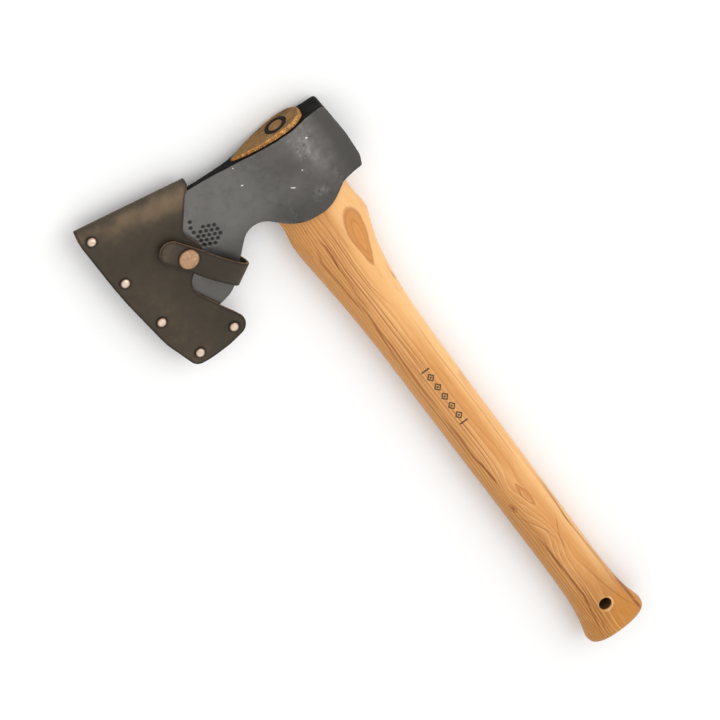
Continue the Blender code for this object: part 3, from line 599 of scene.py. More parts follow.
def smooth_through(places, values):
    """A cubic curve through points, which never overshoots between them."""
    places, values = np.array(places, float), np.array(values, float)
    step = np.diff(places)
    rise = np.diff(values) / step
    slope = np.concatenate((rise[:1], np.zeros(len(rise) - 1), rise[-1:]))
    steady = rise[:-1] * rise[1:] > 0
    slope[1:-1][steady] = (2 * rise[:-1] * rise[1:])[steady] / (rise[:-1] + rise[1:])[steady]

    def value(at):
        at = np.clip(at, places[0], places[-1])
        k = np.clip(np.searchsorted(places, at, side="right") - 1, 0, len(step) - 1)
        t = (at - places[k]) / step[k]
        start = (1 + 2 * t) * (1 - t) ** 2 * values[k] + t * (1 - t) ** 2 * step[k] * slope[k]
        return start + t * t * (3 - 2 * t) * values[k + 1] + t * t * (t - 1) * step[k] * slope[k + 1]

    return value


def fillet(corners, closed=True, step=math.radians(6)):
    """Outline through (x, y, radius) corners, each one rounded by an arc of its radius."""
    points = []
    for index, (x, y, radius) in enumerate(corners):
        corner = Vector((x, y))
        if radius == 0 or (not closed and index in (0, len(corners) - 1)):
            points.append(tuple(corner))
            continue
        back = (Vector(corners[index - 1][:2]) - corner).normalized()
        ahead = (Vector(corners[(index + 1) % len(corners)][:2]) - corner).normalized()
        half = math.acos(max(-1.0, min(1.0, back.dot(ahead)))) / 2
        centre = corner + (back + ahead).normalized() * (radius / math.sin(half))
        first = corner + back * (radius / math.tan(half)) - centre
        last = corner + ahead * (radius / math.tan(half)) - centre
        turn = math.atan2(first.x * last.y - first.y * last.x, first.dot(last))
        steps = max(1, math.ceil(abs(turn) / step))
        for k in range(steps + 1):
            points.append(tuple(centre + Matrix.Rotation(turn * k / steps, 2) @ first))
    return points


def arc_between(start, end, sagitta, steps):
    """Points strictly between two ends, on an arc that bulges to the right of the way from start to end."""
    start, end = Vector(start), Vector(end)
    chord = end - start
    radius = (chord.length / 2) ** 2 / (2 * sagitta) + sagitta / 2
    side = Vector((chord.y, -chord.x)).normalized()
    centre = (start + end) / 2 + side * (sagitta - radius)
    sweep = 2 * math.asin(chord.length / 2 / radius)
    spoke = start - centre
    return [tuple(centre + Matrix.Rotation(sweep * k / steps, 2) @ spoke) for k in range(1, steps)]


def refine(outline, step):
    """The same closed outline, anticlockwise, with no edge longer than a step."""
    outline = np.array(outline, float)
    following = np.roll(outline, -1, 0)
    if np.sum(outline[:, 0] * following[:, 1] - outline[:, 1] * following[:, 0]) < 0:
        outline = outline[::-1]
        following = np.roll(outline, -1, 0)
    points = []
    for start, end in zip(outline, following):
        length = np.linalg.norm(end - start)
        if length < 1e-6:
            continue
        pieces = max(1, math.ceil(length / step))
        points.extend(start + (end - start) * k / pieces for k in range(pieces))
    return np.array(points)


def edge_distance(outline, points):
    """Distance of each point from a closed outline, negative outside it."""
    start, end = outline, np.roll(outline, -1, 0)
    way = end - start
    result = np.empty(len(points))
    for first in range(0, len(points), 2000):
        some = points[first:first + 2000, None, :]
        t = np.clip(np.sum((some - start) * way, 2) / np.sum(way * way, 1), 0, 1)
        nearest = np.sqrt(np.min(np.sum((some - start - t[..., None] * way) ** 2, 2), 1))
        above = (start[:, 1] > some[..., 1]) != (end[:, 1] > some[..., 1])
        rise = np.where(way[:, 1] == 0, 1.0, way[:, 1])
        crossing = start[:, 0] + (some[..., 1] - start[:, 1]) * way[:, 0] / rise
        inside = np.sum(above & (some[..., 0] < crossing), 1) % 2 == 1
        result[first:first + 2000] = np.where(inside, nearest, -nearest)
    return result


def slab(outline, top, bottom, radius, cell, wall_rows=3, arc_rows=4, dense=()):
    """Closed skin over an outline, between a top and a bottom height, with rounded edges.

    Its inner mesh is even, and dense lists (x, y, radius, cell) places where it is finer. The result has
    points and faces, and for each point its distance from the outline and how far down the wall it lies."""
    outline = refine(outline, cell)
    count = len(outline)
    way = np.roll(outline, -1, 0) - outline
    inward = np.stack((-way[:, 1], way[:, 0]), 1) / np.linalg.norm(way, axis=1)[:, None]
    inward = inward + np.roll(inward, 1, 0)
    inward /= np.linalg.norm(inward, axis=1)[:, None]
    thickness = top(outline[:, 0], outline[:, 1]) - bottom(outline[:, 0], outline[:, 1])
    reach = np.minimum(radius, 0.45 * thickness)
    low, high = outline.min(0), outline.max(0)
    grids = [(low, high, cell, None)]
    grids += [(np.array((x - r, y - r)), np.array((x + r, y + r)), fine, (x, y)) for x, y, r, fine in dense]
    grid = []
    for corner, far, pitch, only in grids:
        rows = np.arange(corner[1], far[1], pitch * 0.866)
        columns = np.arange(corner[0], far[0], pitch)
        place = np.array([(x + (k % 2) * pitch / 2, y) for k, y in enumerate(rows) for x in columns])
        for x, y, r, _ in dense:
            near = np.hypot(place[:, 0] - x, place[:, 1] - y) < r
            if only is None:
                place = place[~near]
            elif only == (x, y):
                place = place[near]
        grid.append(place)
    grid = np.vstack(grid)
    inner = outline + inward * reach[:, None]
    grid = grid[edge_distance(inner, grid) > 0.45 * cell]
    coords = [Vector(p) for p in np.vstack((inner, grid))]
    loop = [(k, (k + 1) % count) for k in range(count)]
    _, _, triangles, source, _, _ = delaunay_2d_cdt(coords, loop, [], 1, 1e-7)
    triangles = [[source[v][0] for v in triangle] for triangle in triangles]

    points, rims, walls, faces = [], [], [], []
    starts = {}
    for side, surface in ((1, top), (-1, bottom)):
        starts[side] = len(points)
        for k in range(arc_rows + 1):
            angle = math.pi / 2 * k / arc_rows
            ring = outline + inward * (reach * (1 - math.cos(angle)))[:, None]
            height = surface(ring[:, 0], ring[:, 1]) - side * reach * (1 - math.sin(angle))
            points.extend(np.column_stack((ring, height)))
            rims.extend(reach * (1 - math.cos(angle)))
            walls.extend([max(0.0, 1 - 1.6 * k / arc_rows)] * count)
        points.extend(np.column_stack((grid, surface(grid[:, 0], grid[:, 1]))))
        rims.extend(edge_distance(outline, grid))
        walls.extend([0.0] * len(grid))
        for k in range(arc_rows):
            for i in range(count):
                a, b = starts[side] + k * count + i, starts[side] + k * count + (i + 1) % count
                faces.append((a, b, b + count, a + count)[::side])
        shift = starts[side] + arc_rows * count
        faces.extend(tuple(shift + v for v in triangle)[::side] for triangle in triangles)
    rows = [starts[1]]
    upper, lower = (np.array(points[starts[side]:starts[side] + count]) for side in (1, -1))
    for k in range(1, wall_rows):
        rows.append(len(points))
        points.extend(upper + (lower - upper) * k / wall_rows)
        rims.extend([0.0] * count)
        walls.extend([1.0] * count)
    rows.append(starts[-1])
    for first, second in zip(rows, rows[1:]):
        for i in range(count):
            j = (i + 1) % count
            faces.append((first + i, second + i, second + j, first + j))
    return {"points": np.array(points), "faces": faces, "rim": np.array(rims), "wall": np.array(walls)}


def loft(rings, start_rows, end_rows, end_bulge=0.0):
    """Closed skin through rings along X, with caps of shrinking rings. Returns points and faces."""
    rings = [np.array(ring, float) for ring in rings]
    first, last = rings[0], rings[-1]

    def cap(ring, rows, bulge):
        centre = ring.mean(0)
        shares = [1 - k / (rows + 0.5) for k in range(1, rows + 1)]
        return [centre + (ring - centre) * share + (bulge * (1 - share ** 2), 0, 0) for share in shares]

    rings = cap(first, start_rows, 0.0)[::-1] + rings + cap(last, end_rows, end_bulge)
    count = len(first)
    faces = [tuple(range(count))]
    for k in range(len(rings) - 1):
        for i in range(count):
            a, b = k * count + i, k * count + (i + 1) % count
            faces.append((a, b, b + count, a + count))
    faces.append(tuple(range((len(rings) - 1) * count, len(rings) * count)))
    return np.vstack(rings), faces


def turned(profile, steps, closed=False):
    """Points and faces of a (radius, height) profile swept around Z. Its ends may lie on the axis."""
    profile = np.array(profile, float)
    angle = np.arange(steps) * 2 * math.pi / steps
    points = np.concatenate([np.column_stack((r * np.cos(angle), r * np.sin(angle), np.full(steps, z)))
                             for r, z in profile])
    rows = len(profile)
    pairs = [(k, k + 1) for k in range(rows - 1)] + ([(rows - 1, 0)] if closed else [])
    faces = []
    for a, b in pairs:
        for i in range(steps):
            j = (i + 1) % steps
            faces.append((a * steps + i, b * steps + i, b * steps + j, a * steps + j))
    return points, faces


def make_mesh(name, points, faces, values=None, sharp=None):
    """A mesh object in the row frame, closed, with outward faces and its point values as attributes."""
    mesh = bpy.data.meshes.new(name)
    mesh.from_pydata(((np.asarray(points) + ORIGIN) * MM).tolist(), [], faces)
    for key, value in (values or {}).items():
        value = np.asarray(value, float)
        kind = "FLOAT_VECTOR" if value.ndim == 2 else "FLOAT"
        field = "vector" if value.ndim == 2 else "value"
        mesh.attributes.new(key, kind, "POINT").data.foreach_set(field, value.astype(np.float32).ravel())
    shell = bmesh.new()
    shell.from_mesh(mesh)
    bmesh.ops.remove_doubles(shell, verts=shell.verts, dist=1e-7)
    bmesh.ops.recalc_face_normals(shell, faces=shell.faces)
    shell.to_mesh(mesh)
    shell.free()
    obj = bpy.data.objects.new(name, mesh)
    bpy.context.scene.collection.objects.link(obj)
    mesh.shade_smooth()
    if sharp:
        mesh.set_sharp_from_angle(angle=math.radians(sharp))
    return obj


def cut(obj, *tools):
    """Subtract closed tools from an object and remove them."""
    for tool in tools:
        modifier = obj.modifiers.new("cut", "BOOLEAN")
        modifier.object = tool
        modifier.operation = "DIFFERENCE"
    bpy.context.view_layer.update()
    evaluated = obj.evaluated_get(bpy.context.evaluated_depsgraph_get())
    mesh = bpy.data.meshes.new_from_object(evaluated)
    obj.modifiers.clear()
    obj.data = mesh
    mesh.name = obj.name
    mesh.shade_smooth()
    mesh.set_sharp_from_angle(angle=math.radians(35))
    for tool in tools:
        bpy.data.objects.remove(tool, do_unlink=True)


def dress(obj, material, body, slot, *nodes):
    """Give a piece its material and its body, and hide the CAD nodes that it stands for. Its slot is not
    used.
    """
    obj.data.materials.clear()
    obj.data.materials.append(material)
    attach(obj, body)
    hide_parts(*nodes)


def rough(points, scale, seed):
    """Smooth noise of about -1 to 1 at points, over lengths of about scale millimetres."""
    return np.array([noise.noise(Vector(p) / scale + Vector((seed, 0, 0))) for p in points])


# ---------------------------------------------------------------- axe head

STAMP_CENTRE = np.array((30.2, -61.3))
STAMP_PITCH = 3.9
PUNCH_RADIUS = 1.6
SIDE_MARKS = ((13.6, -66.4), (17.6, -68.4), (21.8, -68.6))
PUNCH_DEPTH = 0.35


def punch_marks():
    """Nineteen punch dots in a hexagon, and a short row of dots beside them."""
    dots = []
    for a in range(-2, 3):
        for b in range(-2, 3):
            if abs(a + b) <= 2:
                dots.append(STAMP_CENTRE + STAMP_PITCH * np.array((a + b / 2, b * 0.866)))
    return dots + [np.array(mark) for mark in SIDE_MARKS]


def punch_depth(x, y):
    """How deep the punch dots are at each place, from 0 to 1."""
    depth = np.zeros_like(x)
    for dot in punch_marks():
        reach = np.hypot(x - dot[0], y - dot[1]) / PUNCH_RADIUS
        depth = np.maximum(depth, np.clip(1.25 - reach ** 2, 0, 1))
    return depth


def section(x, front, back, half, oval, steps):
    """One section across the handle or the eye, between a teardrop and an oval."""
    s = -np.cos(math.pi * np.arange(steps + 1) / steps)
    ahead = np.clip((EYE_WIDEST - s) / (EYE_WIDEST + 1), 0, 1)
    behind = np.clip((s - EYE_WIDEST) / (1 - EYE_WIDEST), 0, 1)
    teardrop = np.where(s < EYE_WIDEST, (1 - ahead ** 1.7) ** 0.82, (1 - behind ** 2.2) ** (1 / 2.2))
    ellipse = np.clip(1 - np.abs(s) ** HANDLE_OVAL, 0, 1) ** (1 / HANDLE_OVAL)
    width = half * ((1 - oval) * teardrop + oval * ellipse)
    y = (front + back) / 2 + s * (back - front) / 2
    upper = np.column_stack((np.full_like(y, x), y, width))
    lower = upper[1:-1][::-1] * (1, 1, -1)
    return np.vstack((upper, lower))


def eye_section(x, inset, steps):
    """One section of the eye, which tapers from the head's top to its underside."""
    back = EYE_BACK - EYE_TAPER * max(x, 0) / LUG_X
    return section(x, EYE_FRONT + inset, back - inset, EYE_HALF_WIDTH - inset, 0, steps)


def head_outline():
    """The head seen square on to its cheek: poll, lug, beard notch, beard, cutting edge and top line."""
    poll_top, neck, flare = TOP_LINE
    corners = [(*poll_top, 3), (28, POLL_Y + 0.4, 120), (48, POLL_Y - 0.8, 16),
               (POLL_BOTTOM_X - 0.2, 49.2, 1.3), (POLL_BOTTOM_X, 32.2, 1.5), (LUG_X, 14.4, 28),
               (LUG_X, -9.2, 28), (38.6, -33.6, 15), (76.8, -71.6, 24), (HEEL[0] - 0.4, -92, 60), (*HEEL, 2)]
    corners += [(*point, 0) for point in arc_between(HEEL, TOE, EDGE_SAGITTA, 24)]
    corners += [(*TOE, 2.5), (*flare, 60), (*neck, 60)]
    return fillet(corners, step=math.radians(4))


def build_head(material):
    """The forged head, with uneven faces, punch dots on the upper cheek, and the eye cut through."""
    y_first = CHEEK[::-1]
    half = smooth_through([y for y, _ in y_first], [h for _, h in y_first])
    stamp_reach = STAMP_PITCH * 2 + PUNCH_RADIUS * 2
    dense = ((*STAMP_CENTRE, stamp_reach, 0.42), (*np.mean(SIDE_MARKS, 0), 6.2, 0.42))
    made = slab(head_outline(), lambda x, y: half(y), lambda x, y: -half(y), 1.0, 1.35, 8, dense=dense)
    points = made["points"]
    x, y, z = points.T
    depth = punch_depth(x, y) * (z > 0) * (1 - made["wall"])
    calm = np.clip((y + 118) / 20, 0, 1)
    points[:, 2] += np.sign(z) * calm * (0.16 * rough(points, 16, 3) + 0.07 * rough(points, 5, 11))
    points[:, 2] -= PUNCH_DEPTH * depth
    points[:, 0] += made["wall"] * calm * 0.14 * rough(points, 7, 23)
    points[:, 1] += made["wall"] * calm * 0.10 * rough(points, 7, 31)
    head = make_mesh("forged_head", points, made["faces"], {"punch": depth})
    eye = make_mesh("eye_tool", *loft([eye_section(at, 0, 72) for at in (-10, 0, 20, 40, LUG_X + 8)], 1, 1))
    cut(head, eye)
    dress(head, material, "axe", "forged_steel", "axe_head")


# ---------------------------------------------------------------- handle and ring wedge

SECTION_STEPS = 88
SHOULDER_X = 64.5
EYE_GAP = 0.3
FACE_ALONG_X = np.array(((0, 0, 1), (0, 1, 0), (-1, 0, 0)), float)  # turns a piece's axis from Z to X
# How far the tenon swells over the eye's walls, at places along it.
TENON_SWELL = ((-4.4, -3.9, -2.6, -1.2, 0.5), (-0.30, 0.25, 0.35, 0.30, 0.0))


def build_handle(material):
    """The handle with a rough-sawn tenon, its lanyard hole, and a groove for the ring wedge."""
    in_eye = (SHOULDER_X, EYE_FRONT + EYE_GAP, EYE_BACK - EYE_TAPER - EYE_GAP, EYE_HALF_WIDTH - EYE_GAP, 0.0)
    stations = np.array([in_eye, *HANDLE_STATIONS])
    curves = [smooth_through(stations[:, 0], stations[:, k]) for k in range(1, 5)]
    swell = smooth_through(*TENON_SWELL)
    rings = []
    for x in np.concatenate((np.linspace(HANDLE_TOP_X, 0.5, 15), (3, 8, 20, 40, 58))):
        rings.append(eye_section(x, EYE_GAP - float(swell(x)), SECTION_STEPS))
    butt_end = HANDLE_STATIONS[-1][0]
    for x in np.concatenate((np.arange(SHOULDER_X, 484, 2.0), np.arange(484, 494, 0.5), (butt_end,))):
        front, back, half, oval = (float(curve(x)) for curve in curves)
        rings.append(section(x, front, back, half, oval, SECTION_STEPS))
    points, faces = loft(rings, 8, 10, 1.1)
    x = points[:, 0]
    outward = points - np.column_stack((x, np.full_like(x, 8.0), np.zeros_like(x)))
    outward /= np.linalg.norm(outward, axis=1)[:, None] + 1e-9
    proud = np.clip((-0.2 - x) / 0.8, 0, 1) * (np.abs(x - HANDLE_TOP_X) > 1e-4)
    sawn = 0.22 * rough(points * (0.3, 1, 1), 1.5, 5) + 0.14 * rough(points * (0.8, 1, 1), 0.9, 9)
    points = points + outward * (proud * sawn)[:, None]
    top = np.abs(x - HANDLE_TOP_X) < 1e-4
    points[:, 0] += top * 0.10 * rough(points, 2.2, 17)
    shaft = np.clip((x - 70) / 30, 0, 1) * np.clip((492 - x) / 30, 0, 1)
    points = points + outward * (shaft * 0.18 * rough(points * (0.25, 1, 1), 12, 41))[:, None]
    handle = make_mesh("hickory_handle", points, faces)
    flare = LANYARD_RADIUS + 0.9
    half_bore = ((0, 20), (flare + 7.4, 20), (flare, 12.9), (LANYARD_RADIUS + 0.25, 11.9),
                 (LANYARD_RADIUS, 11.0))
    bore = turned((*half_bore, *((r, -z) for r, z in half_bore[::-1])), 64)
    bore_tool = make_mesh("bore_tool", bore[0] + (*LANYARD_HOLE, 0), bore[1])
    inner, outer = RING_INNER - 0.2, RING_OUTER + 0.2
    groove = turned(((inner, 8), (outer, 8), (outer, -12), (inner, -12)), 72, closed=True)
    groove_tool = make_mesh("groove_tool", groove[0] @ FACE_ALONG_X + (0, RING_Y, 0), groove[1])
    cut(handle, bore_tool, groove_tool)
    dress(handle, material, "axe", "hickory", "handle")


def build_ring(material):
    """The ring wedge, driven into the tenon and standing a little proud of it."""
    top = -HANDLE_TOP_X + 0.25
    profile = fillet(((RING_INNER, top, 0.45), (RING_OUTER, top, 0.45),
                      (RING_OUTER - 0.6, -RING_BOTTOM_X, 0.2), (RING_INNER + 0.6, -RING_BOTTOM_X, 0.2)),
                     step=math.radians(22))
    points, faces = turned(profile, 72, closed=True)
    crown = points[:, 2] > top - 1
    points[:, 2] += crown * 0.12 * rough(points, 1.6, 53)
    ring = make_mesh("ring_wedge_steel", points @ FACE_ALONG_X + (0, RING_Y, 0), faces, sharp=50)
    dress(ring, material, "axe", "ring_steel", "ring_wedge")


# ---------------------------------------------------------------- blade guard

ALONG = np.array((math.sin(FLARE), math.cos(FLARE)))
INWARD = np.array((math.cos(FLARE), -math.sin(FLARE)))
FOLD_ARC = 4.0 * math.pi / 2  # the fold's share of the unfolded hide, on each side
WELT_GAP = 0.12


def panel_mid(x, y):
    """Height of a panel's middle surface: closed at the rim and the heel tab, open at the throat."""
    opened = (THROAT_MID - RIM_MID) * (y - RIM_Y) / (THROAT_Y - RIM_Y)
    return RIM_MID + opened * np.clip((TAB_CLOSED_X - x) / (TAB_CLOSED_X - TAB_OPEN_X), 0, 1)


def fold_width(v):
    """How far the fold reaches in from its middle surface's outermost line. v runs along the fold."""
    return 2.2 + 3.8 * np.clip((v + 76) / 76, 0, 1)


def guard_surface(a, v):
    """The hide's middle surface. a runs across the unfolded hide, from the back panel to the front one."""
    side = np.where(a < 0, -1.0, 1.0)
    reach = np.abs(a)
    width = fold_width(v)
    turn = np.minimum(reach / FOLD_ARC, 1) * math.pi / 2
    u = LEATHER / 2 + width * (1 - np.cos(turn)) + np.maximum(reach - FOLD_ARC, 0)
    place = FOLD_START + u[:, None] * INWARD + v[:, None] * ALONG
    x, y = place.T
    level = panel_mid(x, y)
    bulge = 0.9 * np.exp(-((x - 22) / 34) ** 2 - ((y + 92) / 24) ** 2)
    ripple = np.array([noise.noise(Vector((p[0], p[1], 40 * s)) / 26) for p, s in zip(place, side)])
    calm = np.clip(np.abs(a) / 14, 0, 1)
    level = level + (bulge + 0.5 * ripple) * calm * np.clip((TAB_CLOSED_X - x) / 20, 0, 1)
    for rx, ry in RIM_RIVETS:
        level -= 0.42 * np.exp(-(np.hypot(x - rx, y - ry) / 4.6) ** 4)
    return np.column_stack((x, y, side * level * np.sin(turn)))


def flat_hide(outline, thickness, radius, cell):
    """A flat sheet of leather around its middle surface."""
    return slab(outline, lambda x, y: np.full_like(x, thickness / 2),
                lambda x, y: np.full_like(x, -thickness / 2), radius, cell)


def offset_surface(surface, first, second, height):
    """Points at a height above a surface of two parameters."""
    step = 0.05
    middle = surface(first, second)
    along_first = surface(first + step, second) - surface(first - step, second)
    along_second = surface(first, second + step) - surface(first, second - step)
    normal = np.cross(along_first, along_second)
    normal /= np.linalg.norm(normal, axis=1)[:, None]
    return middle + normal * height[:, None]


def guard_outline():
    """The unfolded hide: the front panel's outline, and its mirror image trimmed above the heel tab."""
    trim = refine(fillet(GUARD_CORNERS), 1.2)
    offset = trim - FOLD_START
    u, v = offset @ INWARD, offset @ ALONG
    keep = u > LEATHER / 2
    order = np.roll(np.arange(len(trim)), -int(np.argmax(~keep)))
    order = order[keep[order]]
    trim, u, v = trim[order], u[order], v[order]
    width = fold_width(v)
    in_fold = u < LEATHER / 2 + width
    turn = np.arccos(np.clip(1 - (u - LEATHER / 2) / width, -1, 1))
    a = np.where(in_fold, turn / (math.pi / 2) * FOLD_ARC, FOLD_ARC + u - LEATHER / 2 - width)
    front = np.column_stack((a, v))
    way = np.subtract(*TAB_RELIEF[::-1])
    across = np.array((-way[1], way[0])) / np.linalg.norm(way)
    over = (trim - TAB_RELIEF[0]) @ across * np.clip((trim[:, 0] - TAB_RELIEF[0][0]) / 5 + 0.5, 0, 1)
    shift = -np.clip(over, 0, None)[:, None] * np.array((across @ INWARD, across @ ALONG))
    back = (front + shift)[::-1] * (-1, 1)
    return np.vstack((front, back))


def build_cover(material):
    """The guard's hide, wrapped round its fold, with a painted highlight along the fold, paler and darker
    places in the hide, and stains and painted shade beside the strap and round the rivets.
    """
    made = flat_hide(guard_outline(), LEATHER, 0.75, 1.5)
    a, v, t = made["points"].T
    points = offset_surface(guard_surface, a, v, t)
    x, y = points[:, 0], points[:, 1]
    reach = np.abs(a)
    # A painted highlight along the fold, where the hide rolls towards the light. rim_light is paler pull-up
    # leather near the rim.
    painted_fold_highlight = np.exp(-((reach - 8.0) / np.where(reach < 8, 7.0, 13.0)) ** 2)
    painted_fold_highlight *= 0.62 + 0.50 * np.clip((v + 72) / 50, 0, 1)
    rim_light = 0.22 * np.exp(-((y + 118) / 15) ** 2) * np.clip((x - 10) / 30, 0, 1)
    throat_dark = 0.22 * np.exp(-((x - 14) / 22) ** 2 - ((y + 68) / 17) ** 2)
    tone = np.clip(0.21 + 0.59 * painted_fold_highlight + rim_light - throat_dark, 0, 1)
    # Stains and painted shade under and beside the strap, and a dark ring around each rivet, partly pressed
    # and oiled hide and partly painted shade under the cap's edge. The hide's outside is where t > 0.
    from_snap = points[:, :2] - SNAP
    along = np.clip(from_snap @ STRAP_WAY, STRAP_END + STRAP_WIDTH / 2, 30)
    from_strap = np.linalg.norm(from_snap - along[:, None] * STRAP_WAY, axis=1) - STRAP_WIDTH / 2
    stain_and_painted_shade = 0.30 * np.exp(-(np.clip(from_strap, 0, None) / 2.6) ** 2) * (a > 0)
    for rx, ry in RIM_RIVETS:
        from_cap = np.abs(np.hypot(x - rx, y - ry) - CAP_RADIUS - 0.3)
        stain_and_painted_shade = np.maximum(stain_and_painted_shade, np.clip(1.35 - from_cap / 0.75, 0, 1) * (made["rim"] > 0.5))
    values = {"flat": made["points"], "rim": made["rim"], "wall": made["wall"],
              "tone": tone, "stain_and_painted_shade": stain_and_painted_shade * (t > 0)}
    cover = make_mesh("leather_cover", points, made["faces"], values)
    dress(cover, material, "guard", "guard_leather", "guard_cover")


def build_welt(material):
    """The strip between the panels along the rim."""
    def face(x, y):
        return panel_mid(x, y) - LEATHER / 2 - WELT_GAP

    made = slab(fillet(WELT_CORNERS), face, lambda x, y: -face(x, y), 0.3, 1.8, wall_rows=2, arc_rows=2)
    size = len(made["points"])
    values = {"flat": made["points"], "rim": np.full(size, 9.0), "wall": made["wall"] * 0.5,
              "tone": np.full(size, 0.4), "stain_and_painted_shade": np.zeros(size)}
    welt = make_mesh("leather_welt", made["points"], made["faces"], values)
    dress(welt, material, "guard", "welt_leather", "edge_welt")


def dome(radius, base, height, lip=0.42, steps=12):
    """Profile of a low dome, from its crown down to its rim, with a rounded lip."""
    rise = height * (1 - lip)
    arc = [math.pi / 2 * k / steps for k in range(steps + 1)]
    crown = [(radius * math.sin(a), base + height * lip + rise * math.cos(a)) for a in arc]
    return crown + [(radius, base + 0.3), (radius - 0.12, base + 0.08), (radius - 0.4, base)]


def place_turned(name, profile, centre, side, closed=False, dent=0.0, seed=0):
    """A turned piece at a place on the XY plane, facing up or down, with a slightly hammered crown."""
    points, faces = turned(profile, 56, closed)
    rim = max(r for r, _ in profile) - np.hypot(points[:, 0], points[:, 1])
    top = points[:, 2].max()
    crown = np.clip(1 - (top - points[:, 2]) / 1.2, 0, 1)
    points[:, 2] += dent * crown * (rough(points, 1.8, 60 + seed) - 0.4)
    if side < 0:
        points = points * (1, -1, -1)
    return make_mesh(name, points + (*centre, 0), faces, {"rim": rim}, sharp=50)


def build_rivets(material):
    """Domed rivets and their back caps at the guard's rim, and domes with washers at the strap's tail."""
    for k, (x, y) in enumerate(RIM_RIVETS):
        face = float(panel_mid(x, y)) + LEATHER / 2 - 0.25
        post = dome(CAP_RADIUS, face, 1.55) + [(1.5, face), (1.5, -face - 0.2), (0, -face - 0.2)]
        front = place_turned(f"rivet_dome_{k + 1}", post, (x, y), 1, dent=0.22, seed=k)
        dress(front, material, "guard", "copper_rivet", f"rim_rivet_{k + 1}_post")
        cap = dome(CAP_RADIUS - 0.2, face, 1.2, 0.5) + [(1.9, face), (1.9, face + 0.4), (0, face + 0.4)]
        back = place_turned(f"rivet_back_{k + 1}", cap, (x, y), -1, dent=0.12, seed=k + 10)
        dress(back, material, "guard", "copper_rivet", f"rim_rivet_{k + 1}_cap")
    for k, distance in enumerate(STRAP_RIVETS):
        x, y = strap_place(distance)
        face = TAIL_LEVEL + STRAP_THICKNESS + 0.05
        inner = float(panel_mid(x, y)) - LEATHER / 2
        post = dome(CAP_RADIUS, face, 1.45) + [(1.5, face), (1.5, inner - 0.4), (0, inner - 0.4)]
        outer = place_turned(f"strap_rivet_dome_{k + 1}", post, (x, y), -1, dent=0.18, seed=k + 20)
        dress(outer, material, "guard", "copper_rivet", f"strap_rivet_{k + 1}_post")
        burr = fillet(((1.8, inner, 0.1), (CAP_RADIUS, inner, 0.15), (CAP_RADIUS, inner - 0.45, 0.15),
                       (1.8, inner - 0.45, 0.1)), step=math.radians(30))
        washer = place_turned(f"strap_rivet_burr_{k + 1}", burr, (x, y), -1, closed=True)
        dress(washer, material, "guard", "copper_rivet", f"strap_rivet_{k + 1}_cap")


# ---------------------------------------------------------------- strap and snap

FOLD_MID = FOLD_INNER + STRAP_THICKNESS / 2


def strap_place(distance):
    """The place at a distance from the snap, towards the strap's fold."""
    return tuple(SNAP + STRAP_WAY * distance)


def strap_path():
    """The strap's middle line in its side view, from the tail's end round the fold to the flap's end."""
    flap, tail = FLAP_LEVEL + STRAP_THICKNESS / 2, TAIL_LEVEL + STRAP_THICKNESS / 2
    lower = fillet(((TAIL_END, -tail, 0), (BEND_START, -tail, 60), (FOLD_CENTRE, -FOLD_MID, 0)), False)
    arc = [(FOLD_CENTRE + FOLD_MID * math.cos(a), FOLD_MID * math.sin(a))
           for a in np.linspace(-math.pi / 2, 0.4 * math.pi, 25)]
    bends = [(t, z + STRAP_THICKNESS / 2, 14) for t, z in reversed(FLAP_ARCH)]
    upper = fillet(((*arc[-1], 0), *bends, (STRAP_END, flap, 0)), False)
    path = np.array(lower[:-1] + arc + upper[1:])
    length = np.concatenate(((0,), np.cumsum(np.linalg.norm(np.diff(path, axis=0), axis=1))))
    return path, length


